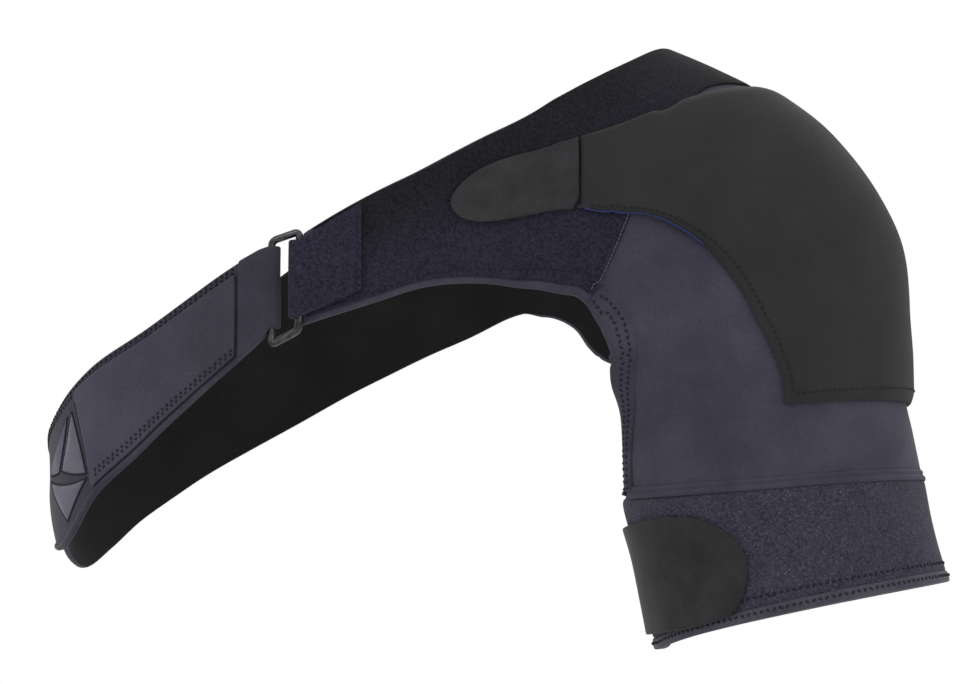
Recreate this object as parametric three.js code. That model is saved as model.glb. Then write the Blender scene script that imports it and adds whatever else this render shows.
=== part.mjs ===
import * as THREE from 'three';

// Shoulder brace for the wearer's left shoulder, in millimetres.
// +X is the wearer's left, +Y the wearer's back, +Z up.
// The origin lies on the inside of the shell, on the crown of the shoulder where the brace sits.

// Sizes of the wearer that the brace is cut for
const crown_above_armpit = 111;
const crown_beyond_armpit = 63;
const shoulder_reach = 134;
const arm_lean = 7.6;
const chest_half_width = 134;
const chest_half_depth = 100;

// Sizes of the cloth and the hardware
const neoprene_wall = 3;
const loop_wall = 1;
const pad_wall = 3;
const pad_edge_wall = 1.4;
const tab_wall = 1.8;
const belt_wall = 2;
const facing_wall = 1.4;
const binding_wall = 0.9;
const binding_share = 0.045;
const loop_band_wall = 3.6;
const hem_wall = 4.2;
const hem_width = 6;
const ring_wire = 3.2;
const ring_spread = 11.5;
const clearance = 0.3;
const lay_gap = 0.8;
const edge_lift = 0.4;

// The tube of arm and shoulder. Its middle line runs up the arm and turns over the armpit.
// Stations are arc lengths on that line, negative down the arm. All are shares of shoulder_reach.
const tube_columns = ['station', 'middle', 'half_width', 'half_depth'];
const tube_sections = [
  [-1.10, 0.5595, 0.4755, 0.410],
  [-0.75, 0.5395, 0.4475, 0.420],
  [-0.60, 0.523, 0.454, 0.425],
  [-0.45, 0.513, 0.459, 0.429],
  [-0.335, 0.509, 0.454, 0.433],
  [-0.15, 0.507, 0.475, 0.440],
  [0, 0.507, 0.490, 0.440],
  [0.12, 0.507, 0.503, 0.440],
  [0.264, 0.507, 0.492, 0.436],
  [0.41, 0.507, 0.457, 0.433],
  [0.543, 0.507, 0.420, 0.425],
  [0.66, 0.507, 0.400, 0.420],
  [0.79, 0.507, 0.388, 0.410],
  [1.08, 0.507, 0.320, 0.390],
];
const turn_radius = 0.507 * shoulder_reach;
const tube_end_station = 0.85;

// How chest, neck and arm flow into each other
const chest_centre_inboard = 0.813 * chest_half_width;
const chest_centre_back = 0.12 * chest_half_depth;
const armpit_fillet = 0.41 * shoulder_reach;
const waist_taper = 0.08;
const waist_start = 0.5 * shoulder_reach;
const waist_end = 0.9 * shoulder_reach;
const neck_fall = 31;
const neck_inboard = 0.302 * shoulder_reach;
const neck_height = 0.89 * shoulder_reach;
const neck_arch = 1.5 * chest_half_depth;
const neck_fillet = 0.6 * chest_half_depth;
const flank_lift = 0.45 * shoulder_reach;

// Ribs of the sleeve and the shoulder cap. Turns are degrees round the tube, 0 in front or behind
// and 90 on the ridge. Shifts, in shares of shoulder_reach, lift an edge off the rib's own plane.
const sleeve_columns = ['station', 'front_turn', 'front_shift', 'back_turn', 'back_shift'];
const sleeve_ribs = [
  [-0.60, -80, 0.075, -80, 0.075],
  [-0.42, -74, 0.05, -64, 0.045],
  [-0.27, -65, 0.03, -50, 0.02],
  [-0.2, -61, 0.017, -45, 0.005],
  [-0.1, -56.1, -0.025, -41, -0.018],
  [0, -53.8, -0.088, -42, -0.04],
  [0.1, -52.5, -0.052, -43, -0.008],
  [0.24, -51.3, 0.01, -42, 0.053],
  [0.36, -49.5, 0.05, -39, 0.115],
  [0.48, -46.5, 0.092, -35.5, 0.168],
  [0.60, -43.5, 0.125, -31.4, 0.212],
];
const hem_station = sleeve_ribs[0][0];
const neck_station = sleeve_ribs[sleeve_ribs.length - 1][0];

// Edges of the front strap from the neck rib to the ring. Heights above the armpit are shares of
// shoulder_reach, depths in front of the shoulder line are shares of chest_half_depth.
const strap_columns = ['along', 'low_height', 'top_height', 'top_depth'];
const strap_rows = [
  [0, 0.086, 0.957, 0.02],
  [0.1, 0.102, 0.911, 0.40],
  [0.2, 0.108, 0.832, 0.565],
  [0.3, 0.115, 0.755, 0.66],
  [0.4, 0.115, 0.681, 0.73],
  [0.5, 0.108, 0.610, 0.80],
  [0.6, 0.090, 0.539, 0.85],
  [0.7, 0.059, 0.469, 0.88],
  [0.8, 0.028, 0.408, 0.90],
  [0.9, -0.001, 0.342, 0.90],
  [1, -0.029, 0.268, 0.89],
];
const strap_low_start = -0.105 * shoulder_reach;
const strap_top_start = 0.246 * shoulder_reach;
const strap_end = -0.966 * chest_half_width;

// Edges of the back strap. Angles are degrees round the chest from the front to the wearer's right.
const back_columns = ['along', 'low_angle', 'low_height', 'top_angle', 'top_height'];
const back_rows = [
  [0, 225, 0.175, 272, 0.965],
  [0.07, 222, 0.168, 259, 0.945],
  [0.14, 217, 0.148, 247, 0.885],
  [0.22, 208, 0.092, 233, 0.80],
  [0.30, 198, 0.035, 219, 0.715],
  [0.38, 187, -0.035, 204, 0.635],
  [0.46, 175.4, -0.111, 189, 0.548],
  [0.54, 162, -0.214, 175, 0.458],
  [0.62, 148.6, -0.318, 161.7, 0.37],
  [0.70, 136, -0.427, 149, 0.235],
  [0.78, 123, -0.56, 134, 0.095],
  [0.86, 110, -0.69, 118, -0.07],
  [0.91, 98, -0.755, 102, -0.22],
  [0.955, 84, -0.68, 85, -0.36],
  [1, 68, -0.60, 68, -0.41],
];

const degree = Math.PI / 180;
const mix = THREE.MathUtils.lerp;
const ease = THREE.MathUtils.smoothstep;

// Reads a table at any key, with smooth curves through its rows
function table_reader(columns, rows) {
  const keys = rows.map((row) => row[0]);
  const slope = (row, column) => {
    const before = Math.max(row - 1, 0);
    const after = Math.min(row + 1, rows.length - 1);
    return (rows[after][column] - rows[before][column]) / (keys[after] - keys[before]);
  };
  return (key) => {
    const held = THREE.MathUtils.clamp(key, keys[0], keys[keys.length - 1]);
    let row = 0;
    while (row < rows.length - 2 && held > keys[row + 1]) row += 1;
    const span = keys[row + 1] - keys[row];
    const t = (held - keys[row]) / span;
    const values = {};
    columns.forEach((name, column) => {
      const rise = rows[row + 1][column] - rows[row][column];
      const start_pull = span * slope(row, column) - rise;
      const end_pull = rise - span * slope(row + 1, column);
      const bend = t * (1 - t) * ((1 - t) * start_pull + t * end_pull);
      values[name] = rows[row][column] + t * rise + bend;
    });
    return values;
  };
}
const tube_at = table_reader(tube_columns, tube_sections);
const sleeve_at = table_reader(sleeve_columns, sleeve_ribs);
const strap_at = table_reader(strap_columns, strap_rows);
const back_at = table_reader(back_columns, back_rows);

// Joins two fields with a fillet, keeping the smaller one
function fillet_min(a, b, size) {
  const t = THREE.MathUtils.clamp(0.5 + 0.5 * (b - a) / size, 0, 1);
  return mix(b, a, t) - size * t * (1 - t);
}

// The wearer's form that the cloth lies on: below 0 inside, above 0 outside
function wearer(p) {
  const lean = arm_lean * degree;
  const dx = p.x + crown_beyond_armpit;
  const dz = p.z + crown_above_armpit;
  const down_arm = dx * Math.sin(lean) - dz * Math.cos(lean);
  let spread = dx * Math.cos(lean) + dz * Math.sin(lean);
  let station = -down_arm / shoulder_reach;
  let past_end = 0;
  if (down_arm <= 0) {
    const end = lean + tube_end_station * shoulder_reach / turn_radius;
    past_end = dz * Math.cos(end) - dx * Math.sin(end);
    station = tube_end_station;
    if (past_end > 0) {
      spread = dx * Math.cos(end) + dz * Math.sin(end);
    } else {
      past_end = 0;
      spread = Math.hypot(dx, dz);
      station = (Math.atan2(dz, dx) - lean) * turn_radius / shoulder_reach;
    }
  }
  const section = tube_at(station);
  const armpit = tube_at(0);
  const away = ease(Math.hypot(spread, past_end), 0, turn_radius);
  const half_width = mix(armpit.half_width, section.half_width, away) * shoulder_reach;
  const half_depth = mix(armpit.half_depth, section.half_depth, away) * shoulder_reach;
  const side = (spread - section.middle * shoulder_reach) / half_width;
  const tube = (Math.hypot(side, p.y / half_depth) - 1) * (half_width + half_depth) / 2 + past_end;
  const waist = 1 - waist_taper * ease(-dz, waist_start, waist_end);
  const chest_x = (dx + chest_centre_inboard) / (chest_half_width * waist);
  const chest_y = (p.y - chest_centre_back) / chest_half_depth;
  const trunk = (Math.hypot(chest_x, chest_y) - 1) * chest_half_depth;
  const fall = neck_fall * degree;
  const neck = (dz - neck_height) * Math.cos(fall) + (dx - neck_inboard) * Math.sin(fall)
    + p.y * p.y / neck_arch;
  const flank = flank_lift * ease(down_arm, 0, 0.52 * shoulder_reach)
    * ease(dx, -0.39 * chest_half_width, -0.015 * chest_half_width);
  const chest = -fillet_min(-trunk, -neck, neck_fillet) + flank;
  return fillet_min(chest, tube, armpit_fillet);
}

function outward(p) {
  const step = 0.05;
  const slope = (axis) => {
    const ahead = p.clone();
    const behind = p.clone();
    ahead[axis] += step;
    behind[axis] -= step;
    return (wearer(ahead) - wearer(behind)) / (2 * step);
  };
  return new THREE.Vector3(slope('x'), slope('y'), slope('z'));
}

// A place on the wearer's form with the direction out of it
function place_on(p) {
  return { at: p, out: outward(p).normalize() };
}

// Moves a point that is near the form onto it
function settle(p) {
  const moved = p.clone();
  for (let pass = 0; pass < 10; pass += 1) {
    const slope = outward(moved);
    moved.addScaledVector(slope, -wearer(moved) / slope.lengthSq());
  }
  return moved;
}

// Follows a ray from inside the form until it comes out
function cast(from, direction) {
  const stride = 0.02 * shoulder_reach;
  let near = 0;
  let far = stride;
  while (wearer(from.clone().addScaledVector(direction, far)) < 0) {
    near = far;
    far += stride;
  }
  for (let pass = 0; pass < 24; pass += 1) {
    const middle = (near + far) / 2;
    if (wearer(from.clone().addScaledVector(direction, middle)) < 0) near = middle;
    else far = middle;
  }
  return from.clone().addScaledVector(direction, near);
}

// The tube's middle at a station, with its outward and upward directions
function tube_frame(station) {
  const lean = arm_lean * degree;
  const bend = Math.max(0, station) * shoulder_reach / turn_radius;
  const reach = new THREE.Vector3(Math.cos(lean + bend), 0, Math.sin(lean + bend));
  const up = new THREE.Vector3(-reach.z, 0, reach.x);
  const middle = new THREE.Vector3(-crown_beyond_armpit, 0, -crown_above_armpit)
    .addScaledVector(reach, tube_at(station).middle * shoulder_reach)
    .addScaledVector(up, Math.min(0, station) * shoulder_reach);
  return { middle, reach, up };
}

// A place on a rib: turned by so many degrees from the front or back, lifted off the rib's plane
function turned(frame, side, turn, lift) {
  const from = frame.middle.clone().addScaledVector(frame.up, lift);
  const direction = frame.reach.clone().multiplyScalar(Math.sin(turn * degree));
  direction.y = side * Math.cos(turn * degree);
  return cast(from, direction);
}
const front_side = -1;
const back_side = 1;

// A place on the sleeve, by the turn all the way round: 0 front, 90 ridge, 180 back, -90 armpit
function on_sleeve(station, turn, lift = 0) {
  return turned(tube_frame(station), front_side, turn, lift);
}

// A place on the chest, by the angle round it from the front to the wearer's right
function on_chest(angle, height) {
  const middle_x = -crown_beyond_armpit - chest_centre_inboard;
  const from = new THREE.Vector3(middle_x, chest_centre_back, height - crown_above_armpit);
  return cast(from, new THREE.Vector3(-Math.sin(angle * degree), -Math.cos(angle * degree), 0));
}

function strap_edges(along) {
  const row = strap_at(along);
  const edge = (start, height, depth) => settle(new THREE.Vector3(
    mix(start, strap_end, along) - crown_beyond_armpit,
    -depth * chest_half_depth,
    height * shoulder_reach - crown_above_armpit,
  ));
  const low = edge(strap_low_start, row.low_height, 0.8);
  const top = edge(strap_top_start, row.top_height, row.top_depth);
  return { low, top };
}

// The front half: run is the station on the sleeve, and past the neck rib the strap's length
function front_rib(run) {
  if (run <= neck_station) {
    const frame = tube_frame(run);
    const row = sleeve_at(run);
    return (share) => turned(frame, front_side, mix(row.front_turn, 90, share),
      row.front_shift * shoulder_reach * (1 - share) ** 2);
  }
  const { low, top } = strap_edges(run - neck_station);
  const middle = low.clone().add(top).multiplyScalar(0.5).setY(0);
  const reach = top.clone().sub(low).setY(0).normalize();
  const frame = { middle, reach, up: new THREE.Vector3(-reach.z, 0, reach.x) };
  const turn_of = (p) => Math.atan2(p.clone().sub(middle).dot(reach), -p.y) / degree;
  return (share) => turned(frame, front_side, mix(turn_of(low), turn_of(top), share), 0);
}

function back_rib(run) {
  if (run <= neck_station) {
    const frame = tube_frame(run);
    const row = sleeve_at(run);
    return (share) => turned(frame, back_side, mix(row.back_turn, 90, share),
      row.back_shift * shoulder_reach * (1 - share) ** 2);
  }
  const row = back_at(run - neck_station);
  const low = on_chest(row.low_angle, row.low_height * shoulder_reach);
  const top = on_chest(row.top_angle, row.top_height * shoulder_reach);
  const hub = place_on(settle(low.clone().add(top).multiplyScalar(0.5)));
  const core = hub.at.clone().addScaledVector(hub.out, -0.5 * low.distanceTo(top));
  return (share) => cast(core, low.clone().lerp(top, share).sub(core).normalize());
}

// One node of cloth: its inner and outer point at layers above the wearer's form
function layer(p, inner, outer) {
  const { at, out } = place_on(p);
  return {
    inner: at.clone().addScaledVector(out, inner),
    outer: at.clone().addScaledVector(out, outer),
  };
}

// A grid of cloth: build(u, v) gives the node at shares u, v of the rows and columns
function grid(rows, columns, build) {
  return Array.from({ length: rows + 1 }, (_, row) => Array.from(
    { length: columns + 1 },
    (__, column) => build(row / rows, column / columns, row, column),
  ));
}

// The closed solid between the inner and outer points of one or more grids that may share nodes
function cloth_solid(...grids) {
  const numbers = new Map();
  const points = [];
  const number_of = (node) => {
    if (!numbers.has(node)) {
      numbers.set(node, points.length / 6);
      points.push(...node.inner.toArray(), ...node.outer.toArray());
    }
    return numbers.get(node);
  };
  const faces = [];
  const inner = (node) => 2 * number_of(node);
  const outer = (node) => 2 * number_of(node) + 1;
  const open_edges = new Map();
  const walk_edge = (a, b) => {
    const back = `${number_of(b)} ${number_of(a)}`;
    if (!open_edges.delete(back)) open_edges.set(`${number_of(a)} ${number_of(b)}`, [a, b]);
  };
  grids.forEach((nodes) => {
    const rings = [];
    let facing_out = 0;
    for (let row = 0; row < nodes.length - 1; row += 1) {
      for (let column = 0; column < nodes[row].length - 1; column += 1) {
        const a = nodes[row][column];
        const b = nodes[row + 1][column];
        const c = nodes[row + 1][column + 1];
        const d = nodes[row][column + 1];
        rings.push([a, b, c, d]);
        const across = c.outer.clone().sub(a.outer);
        const along = d.outer.clone().sub(b.outer);
        facing_out += across.cross(along).dot(a.outer.clone().sub(a.inner));
      }
    }
    rings.forEach((ring) => {
      const [a, b, c, d] = facing_out > 0 ? ring : ring.reverse();
      faces.push(outer(a), outer(b), outer(c), outer(a), outer(c), outer(d));
      faces.push(inner(a), inner(c), inner(b), inner(a), inner(d), inner(c));
      [[a, b], [b, c], [c, d], [d, a]].forEach(([from, to]) => walk_edge(from, to));
    });
  });
  open_edges.forEach(([a, b]) => {
    faces.push(outer(b), outer(a), inner(a), outer(b), inner(a), inner(b));
  });
  const geometry = new THREE.BufferGeometry();
  geometry.setAttribute('position', new THREE.Float32BufferAttribute(points, 3));
  geometry.setIndex(faces);
  geometry.computeVertexNormals();
  return geometry;
}

const brace = new THREE.Group();
function add_piece(name, geometry, colour, roughness, metalness = 0) {
  const material = new THREE.MeshStandardMaterial({ color: colour, roughness, metalness });
  const mesh = new THREE.Mesh(geometry, material);
  mesh.name = name;
  brace.add(mesh);
}
const neoprene_colour = 0x3a3844;
const loop_colour = 0x282636;
const pad_colour = 0x353434;
const hook_colour = 0x3c3b3d;
const webbing_colour = 0x34323e;
const ring_colour = 0x8a8784;

// Body: one neoprene shell of sleeve, shoulder cap, front strap and back strap
const rib_columns = 15;
const sleeve_ribs_count = 24;
const front_strap_ribs = 14;
const back_strap_ribs = 24;
const sleeve_run = (u) => mix(hem_station, neck_station, u);
const shell = (rib, share) => layer(rib(share), 0, neoprene_wall);
const front_sleeve = grid(sleeve_ribs_count, rib_columns, (u, v) => (
  shell(front_rib(sleeve_run(u)), v)
));
const back_sleeve = grid(sleeve_ribs_count, rib_columns, (u, v, row, column) => (
  column === rib_columns ? front_sleeve[row][column] : shell(back_rib(sleeve_run(u)), v)
));
const front_strap = grid(front_strap_ribs, rib_columns, (u, v, row, column) => (
  row === 0 ? front_sleeve[sleeve_ribs_count][column] : shell(front_rib(neck_station + u), v)
));
const back_strap = grid(back_strap_ribs, rib_columns, (u, v, row, column) => (
  row === 0 ? back_sleeve[sleeve_ribs_count][column] : shell(back_rib(neck_station + u), v)
));
const shell_solid = cloth_solid(front_sleeve, back_sleeve, front_strap, back_strap);
add_piece('body', shell_solid, neoprene_colour, 0.85);

// Front facing: loop cloth on the front panel from the shoulder seam to the ring
const first_layer = neoprene_wall + lay_gap;
const facing_top = first_layer + loop_wall;
const seam_run = 0.53;
const seam_curl = 0.04;
const seam_sweep = 0.08;
const facing_end_run = 1.57;
const facing_rows = 22;
const facing_columns = 12;
const facing = grid(facing_rows, facing_columns, (u, v) => {
  const start = seam_run - seam_curl * (1 - ease(v, 0, 0.25)) - seam_sweep * ease(v, 0.62, 1);
  const margin = mix(0.02, 0.06, ease(u, 0.3, 0.8));
  const top_lift = (1.3 - 0.8 * ease(u, 0.3, 0.6)) * ease(v, 0.3, 0.55);
  const rise = clearance + edge_lift * (1 - ease(v, 0, 0.3) + top_lift);
  return layer(
    front_rib(mix(start, facing_end_run, u))(mix(margin, 0.985, v)),
    first_layer + rise,
    facing_top + rise,
  );
});
add_piece('front_facing', cloth_solid(facing), loop_colour, 0.95);

// Armhole bindings: tape along the front and back armhole edges, row by row with the sleeve
const binding_rows = 21;
const binding_hem_gap = 0.012;
const binding_seat = first_layer + 2 * edge_lift;
const binding = (rib_at) => grid(binding_rows, 1, (u, v, row) => {
  const rib = rib_at(sleeve_run(row / sleeve_ribs_count) + (row === 0 ? binding_hem_gap : 0));
  return layer(rib(binding_share * v), binding_seat, binding_seat + binding_wall);
});
add_piece('front_armhole_binding', cloth_solid(binding(front_rib)), webbing_colour, 0.8);
add_piece('back_armhole_binding', cloth_solid(binding(back_rib)), webbing_colour, 0.8);

// Shoulder pad: a soft cover on the cap, from the front over the ridge to the back
const pad_columns = ['along', 'low_run', 'low_share', 'top_run', 'top_share'];
const pad_rows = [
  [0, -0.345, 0.455, -0.365, 1],
  [0.12, -0.25, 0.437, -0.22, 1],
  [0.24, -0.15, 0.40, -0.07, 1],
  [0.36, -0.04, 0.362, 0.09, 1],
  [0.48, 0.08, 0.318, 0.25, 1],
  [0.58, 0.18, 0.288, 0.39, 1],
  [0.68, 0.29, 0.27, 0.485, 0.74],
  [0.78, 0.40, 0.246, 0.545, 0.60],
  [0.88, 0.50, 0.222, 0.60, 0.505],
  [0.94, 0.60, 0.20, 0.70, 0.575],
  [1, 0.689, 0.256, 0.795, 0.629],
];
const pad_at = table_reader(pad_columns, pad_rows);
const pad_ridge_rows = 14;
const pad_lobe_rows = 9;
const pad_cols = 10;
const pad_ridge_end = 0.58;
const pad_rim = 0.12;
const second_layer = facing_top + clearance + lay_gap;
const pad_lift = 0.7;
function pad_node(rib_at, along, share) {
  const row = pad_at(along);
  const run = mix(row.low_run, row.top_run, share);
  const on_rib = Math.min(1, mix(row.low_share, row.top_share, share));
  const seat = mix(first_layer + pad_lift, second_layer, ease(run, seam_run - 0.25, seam_run - 0.11));
  const rim = Math.min(along, 1 - along, share, row.top_share < 0.99 ? 1 - share : 1);
  const wall = mix(pad_edge_wall, pad_wall, ease(rim, 0, pad_rim));
  return layer(rib_at(run)(on_rib), seat, seat + wall);
}
const pad_front = grid(pad_ridge_rows, pad_cols, (u, v) => (
  pad_node(front_rib, pad_ridge_end * u, v)
));
const pad_back = grid(pad_ridge_rows, pad_cols, (u, v, row, column) => (
  column === pad_cols ? pad_front[row][pad_cols] : pad_node(back_rib, pad_ridge_end * u, v)
));
const pad_lobe = grid(pad_lobe_rows, pad_cols, (u, v, row, column) => (
  row === 0 ? pad_front[pad_ridge_rows][column] : pad_node(front_rib, mix(pad_ridge_end, 1, u), v)
));
add_piece('shoulder_pad', cloth_solid(pad_front, pad_back, pad_lobe), pad_colour, 0.9);

// Pad tab: hook tape from the pad's edge, with a round end, pressed on the front facing
const tab_columns = ['along', 'low_run', 'low_share', 'top_run', 'top_share'];
const tab_rows = [
  [0, 0.692, 0.257, 0.798, 0.627],
  [0.2, 0.80, 0.288, 0.88, 0.66],
  [0.4, 0.90, 0.298, 0.97, 0.715],
  [0.6, 1.0, 0.317, 1.05, 0.744],
  [0.75, 1.065, 0.355, 1.10, 0.742],
  [0.87, 1.115, 0.42, 1.14, 0.715],
  [0.95, 1.148, 0.50, 1.16, 0.67],
  [1, 1.165, 0.57, 1.168, 0.61],
];
const tab_at = table_reader(tab_columns, tab_rows);
const tab_steps = 14;
const tab_columns_across = 4;
const pad_tab = grid(tab_steps, tab_columns_across, (u, v) => {
  const row = tab_at(u);
  const rib = front_rib(mix(row.low_run, row.top_run, v));
  return layer(rib(mix(row.low_share, row.top_share, v)), second_layer, second_layer + tab_wall);
});
add_piece('pad_tab', cloth_solid(pad_tab), hook_colour, 0.85);

// Where the front strap ends on the chest, and how far a degree round the chest is there
const ring_height = 0.12 * shoulder_reach;
const strap_tip = strap_edges(1).low.clone().add(strap_edges(1).top).multiplyScalar(0.5);
const ring_angle = Math.atan2(
  -crown_beyond_armpit - chest_centre_inboard - strap_tip.x,
  chest_centre_back - strap_tip.y,
) / degree;
const per_degree = on_chest(ring_angle, ring_height).distanceTo(on_chest(ring_angle + 1, ring_height));

// A node of folded cloth: s millimetres past the strap's end toward the shoulder, at a depth above
// the form, with the cloth's thickness turned by a tilt from outward to the wearer's right
function folded(s, height, depth, tilt, wall) {
  const { at, out } = place_on(on_chest(ring_angle - s / per_degree, height));
  const aside = new THREE.Vector3(out.y, -out.x, 0).normalize();
  const across = out.clone().multiplyScalar(Math.cos(tilt)).addScaledVector(aside, Math.sin(tilt));
  const middle = at.clone().addScaledVector(out, depth);
  return {
    inner: middle.clone().addScaledVector(across, -wall / 2),
    outer: middle.clone().addScaledVector(across, wall / 2),
  };
}

// Ring: one loop of round wire, its left bar lower than its right bar
const bar_depth = neoprene_wall + clearance + ring_wire / 2;
const ring_corner = 2.2;
const ring_corners = [
  [0, -0.041],
  [0, 0.273],
  [-ring_spread, 0.244],
  [-ring_spread, -0.086],
];
const wire_sides = 8;
const corner_steps = 3;
const bar_steps = 4;
const ring_path = [];
ring_corners.forEach(([spread, share], corner) => {
  const here = new THREE.Vector2(spread, share * shoulder_reach);
  const toward = (other) => {
    const there = new THREE.Vector2(other[0], other[1] * shoulder_reach);
    return there.sub(here).normalize().multiplyScalar(ring_corner).add(here);
  };
  const next = ring_corners[(corner + 1) % ring_corners.length];
  const entry = toward(ring_corners[(corner + ring_corners.length - 1) % ring_corners.length]);
  const exit = toward(next);
  for (let step = 0; step <= corner_steps; step += 1) {
    const t = step / corner_steps;
    ring_path.push(entry.clone().multiplyScalar((1 - t) ** 2)
      .addScaledVector(here, 2 * t * (1 - t)).addScaledVector(exit, t * t));
  }
  const there = new THREE.Vector2(next[0], next[1] * shoulder_reach);
  const far = here.clone().sub(there).normalize().multiplyScalar(ring_corner).add(there);
  for (let step = 1; step < bar_steps; step += 1) {
    ring_path.push(exit.clone().lerp(far, step / bar_steps));
  }
});
const ring_places = ring_path.map(({ x, y }) => {
  const { at, out } = place_on(on_chest(ring_angle - x / per_degree, y));
  return { at: at.clone().addScaledVector(out, bar_depth), out };
});
const ring_points = [];
const ring_faces = [];
ring_places.forEach(({ at, out }, index) => {
  const count = ring_places.length;
  const before = ring_places[(index + count - 1) % count].at;
  const after = ring_places[(index + 1) % count].at;
  const tangent = after.clone().sub(before).normalize();
  const side = tangent.clone().cross(out).normalize();
  const lift = side.clone().cross(tangent);
  for (let corner = 0; corner < wire_sides; corner += 1) {
    const turn = 2 * Math.PI * corner / wire_sides;
    const point = at.clone().addScaledVector(side, Math.cos(turn) * ring_wire / 2)
      .addScaledVector(lift, Math.sin(turn) * ring_wire / 2);
    ring_points.push(...point.toArray());
    const a = index * wire_sides + corner;
    const b = index * wire_sides + (corner + 1) % wire_sides;
    const c = (index + 1) % count * wire_sides + (corner + 1) % wire_sides;
    const d = (index + 1) % count * wire_sides + corner;
    ring_faces.push(a, c, b, a, d, c);
  }
});
const ring_geometry = new THREE.BufferGeometry();
ring_geometry.setAttribute('position', new THREE.Float32BufferAttribute(ring_points, 3));
ring_geometry.setIndex(ring_faces);
ring_geometry.computeVertexNormals();
add_piece('ring', ring_geometry, ring_colour, 0.35, 0.9);

// Strap fold: the strap's end goes round the ring's right bar and back over the facing
const fold_turn = clearance + (ring_wire + neoprene_wall) / 2;
const flap_length = 26;
const flap_settled = 9;
const flap_depth = second_layer + neoprene_wall / 2;
const fold_arc = 8;
const fold_flap = 6;
const fold_low = (s) => mix(-0.005, 0.085, s / flap_length) * shoulder_reach;
const fold_top = (s) => mix(0.246, 0.365, s / flap_length) * shoulder_reach;
const strap_fold = grid(fold_arc + fold_flap, 4, (u, v, row) => {
  if (row <= fold_arc) {
    const turn = mix(15 * degree, Math.PI, row / fold_arc);
    return folded(-fold_turn * Math.sin(turn), mix(fold_low(0), fold_top(0), v),
      bar_depth - fold_turn * Math.cos(turn), Math.PI - turn, -neoprene_wall);
  }
  const s = flap_length * (row - fold_arc) / fold_flap;
  const depth = mix(bar_depth + fold_turn, flap_depth, ease(s, 0, flap_settled));
  return folded(s, mix(fold_low(s), fold_top(s), v), depth, 0, -neoprene_wall);
});
add_piece('strap_fold', cloth_solid(strap_fold), neoprene_colour, 0.85);

// Chest belt: from its fold round the ring's left bar to its end beside the back strap
const belt_columns = ['along', 'low_height', 'top_height'];
const belt_rows = [
  [0, -0.035, 0.227],
  [0.05, -0.088, 0.212],
  [0.15, -0.18, 0.153],
  [0.25, -0.27, 0.085],
  [0.35, -0.358, 0.015],
  [0.45, -0.455, -0.052],
  [0.55, -0.547, -0.118],
  [0.65, -0.645, -0.188],
  [0.75, -0.695, -0.262],
  [0.85, -0.692, -0.32],
  [1, -0.655, -0.40],
];
const belt_at = table_reader(belt_columns, belt_rows);
const belt_end_angle = 97;
const belt_start_angle = ring_angle + ring_spread / per_degree;
const belt_turn = clearance + (ring_wire + belt_wall) / 2;
const belt_lift_start = 48;
const belt_lift_end = 62;
const belt_return = 14;
const belt_arc = 8;
const belt_flap = 5;
const belt_run = 30;
const belt_seat = (angle) => mix(
  (bar_depth - belt_turn - belt_wall / 2) * (1 - ease(angle, belt_start_angle, belt_lift_start)),
  first_layer,
  ease(angle, belt_lift_start, belt_lift_end),
);
const belt_height = (angle, v) => {
  const row = belt_at((angle - belt_start_angle) / (belt_end_angle - belt_start_angle));
  return mix(row.low_height, row.top_height, v) * shoulder_reach;
};
const chest_belt = grid(belt_flap + belt_arc + belt_run, 4, (u, v, row) => {
  if (row < belt_flap) {
    const back = belt_return * (1 - row / belt_flap);
    const angle = belt_start_angle + back / per_degree;
    const settled = belt_seat(angle) + 1.5 * belt_wall + lay_gap;
    const depth = mix(bar_depth + belt_turn, settled, ease(back, 0, 0.7 * belt_return));
    return folded(-ring_spread - back, belt_height(angle, v), depth, 0, belt_wall);
  }
  if (row <= belt_flap + belt_arc) {
    const turn = Math.PI * (row - belt_flap) / belt_arc;
    return folded(belt_turn * Math.sin(turn) - ring_spread, belt_height(belt_start_angle, v),
      bar_depth + belt_turn * Math.cos(turn), -turn, belt_wall);
  }
  const angle = mix(belt_start_angle, belt_end_angle, (row - belt_flap - belt_arc) / belt_run);
  const seat = belt_seat(angle) + belt_wall;
  return layer(on_chest(angle, belt_height(angle, v)), seat, seat - belt_wall);
});
add_piece('chest_belt', cloth_solid(chest_belt), neoprene_colour, 0.85);

// Belt facing: loop cloth along the middle of the belt
const belt_facing_gap = 1.5;
const belt_facing_low_end = 61.5;
const belt_facing_top_end = 67.5;
const belt_facing_steps = 24;
const belt_facing = grid(belt_facing_steps, 4, (u, v) => {
  const start = belt_start_angle + (belt_return + belt_facing_gap) / per_degree;
  const end = mix(belt_facing_low_end, belt_facing_top_end, v);
  const angle = mix(start, end, u);
  const row = belt_at((angle - belt_start_angle) / (belt_end_angle - belt_start_angle));
  const height = mix(row.low_height + 0.026, row.top_height - 0.034, v) * shoulder_reach;
  const seat = belt_seat(angle) + belt_wall + lay_gap;
  return layer(on_chest(angle, height), seat, seat + facing_wall);
});
add_piece('belt_facing', cloth_solid(belt_facing), neoprene_colour, 0.9);

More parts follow.
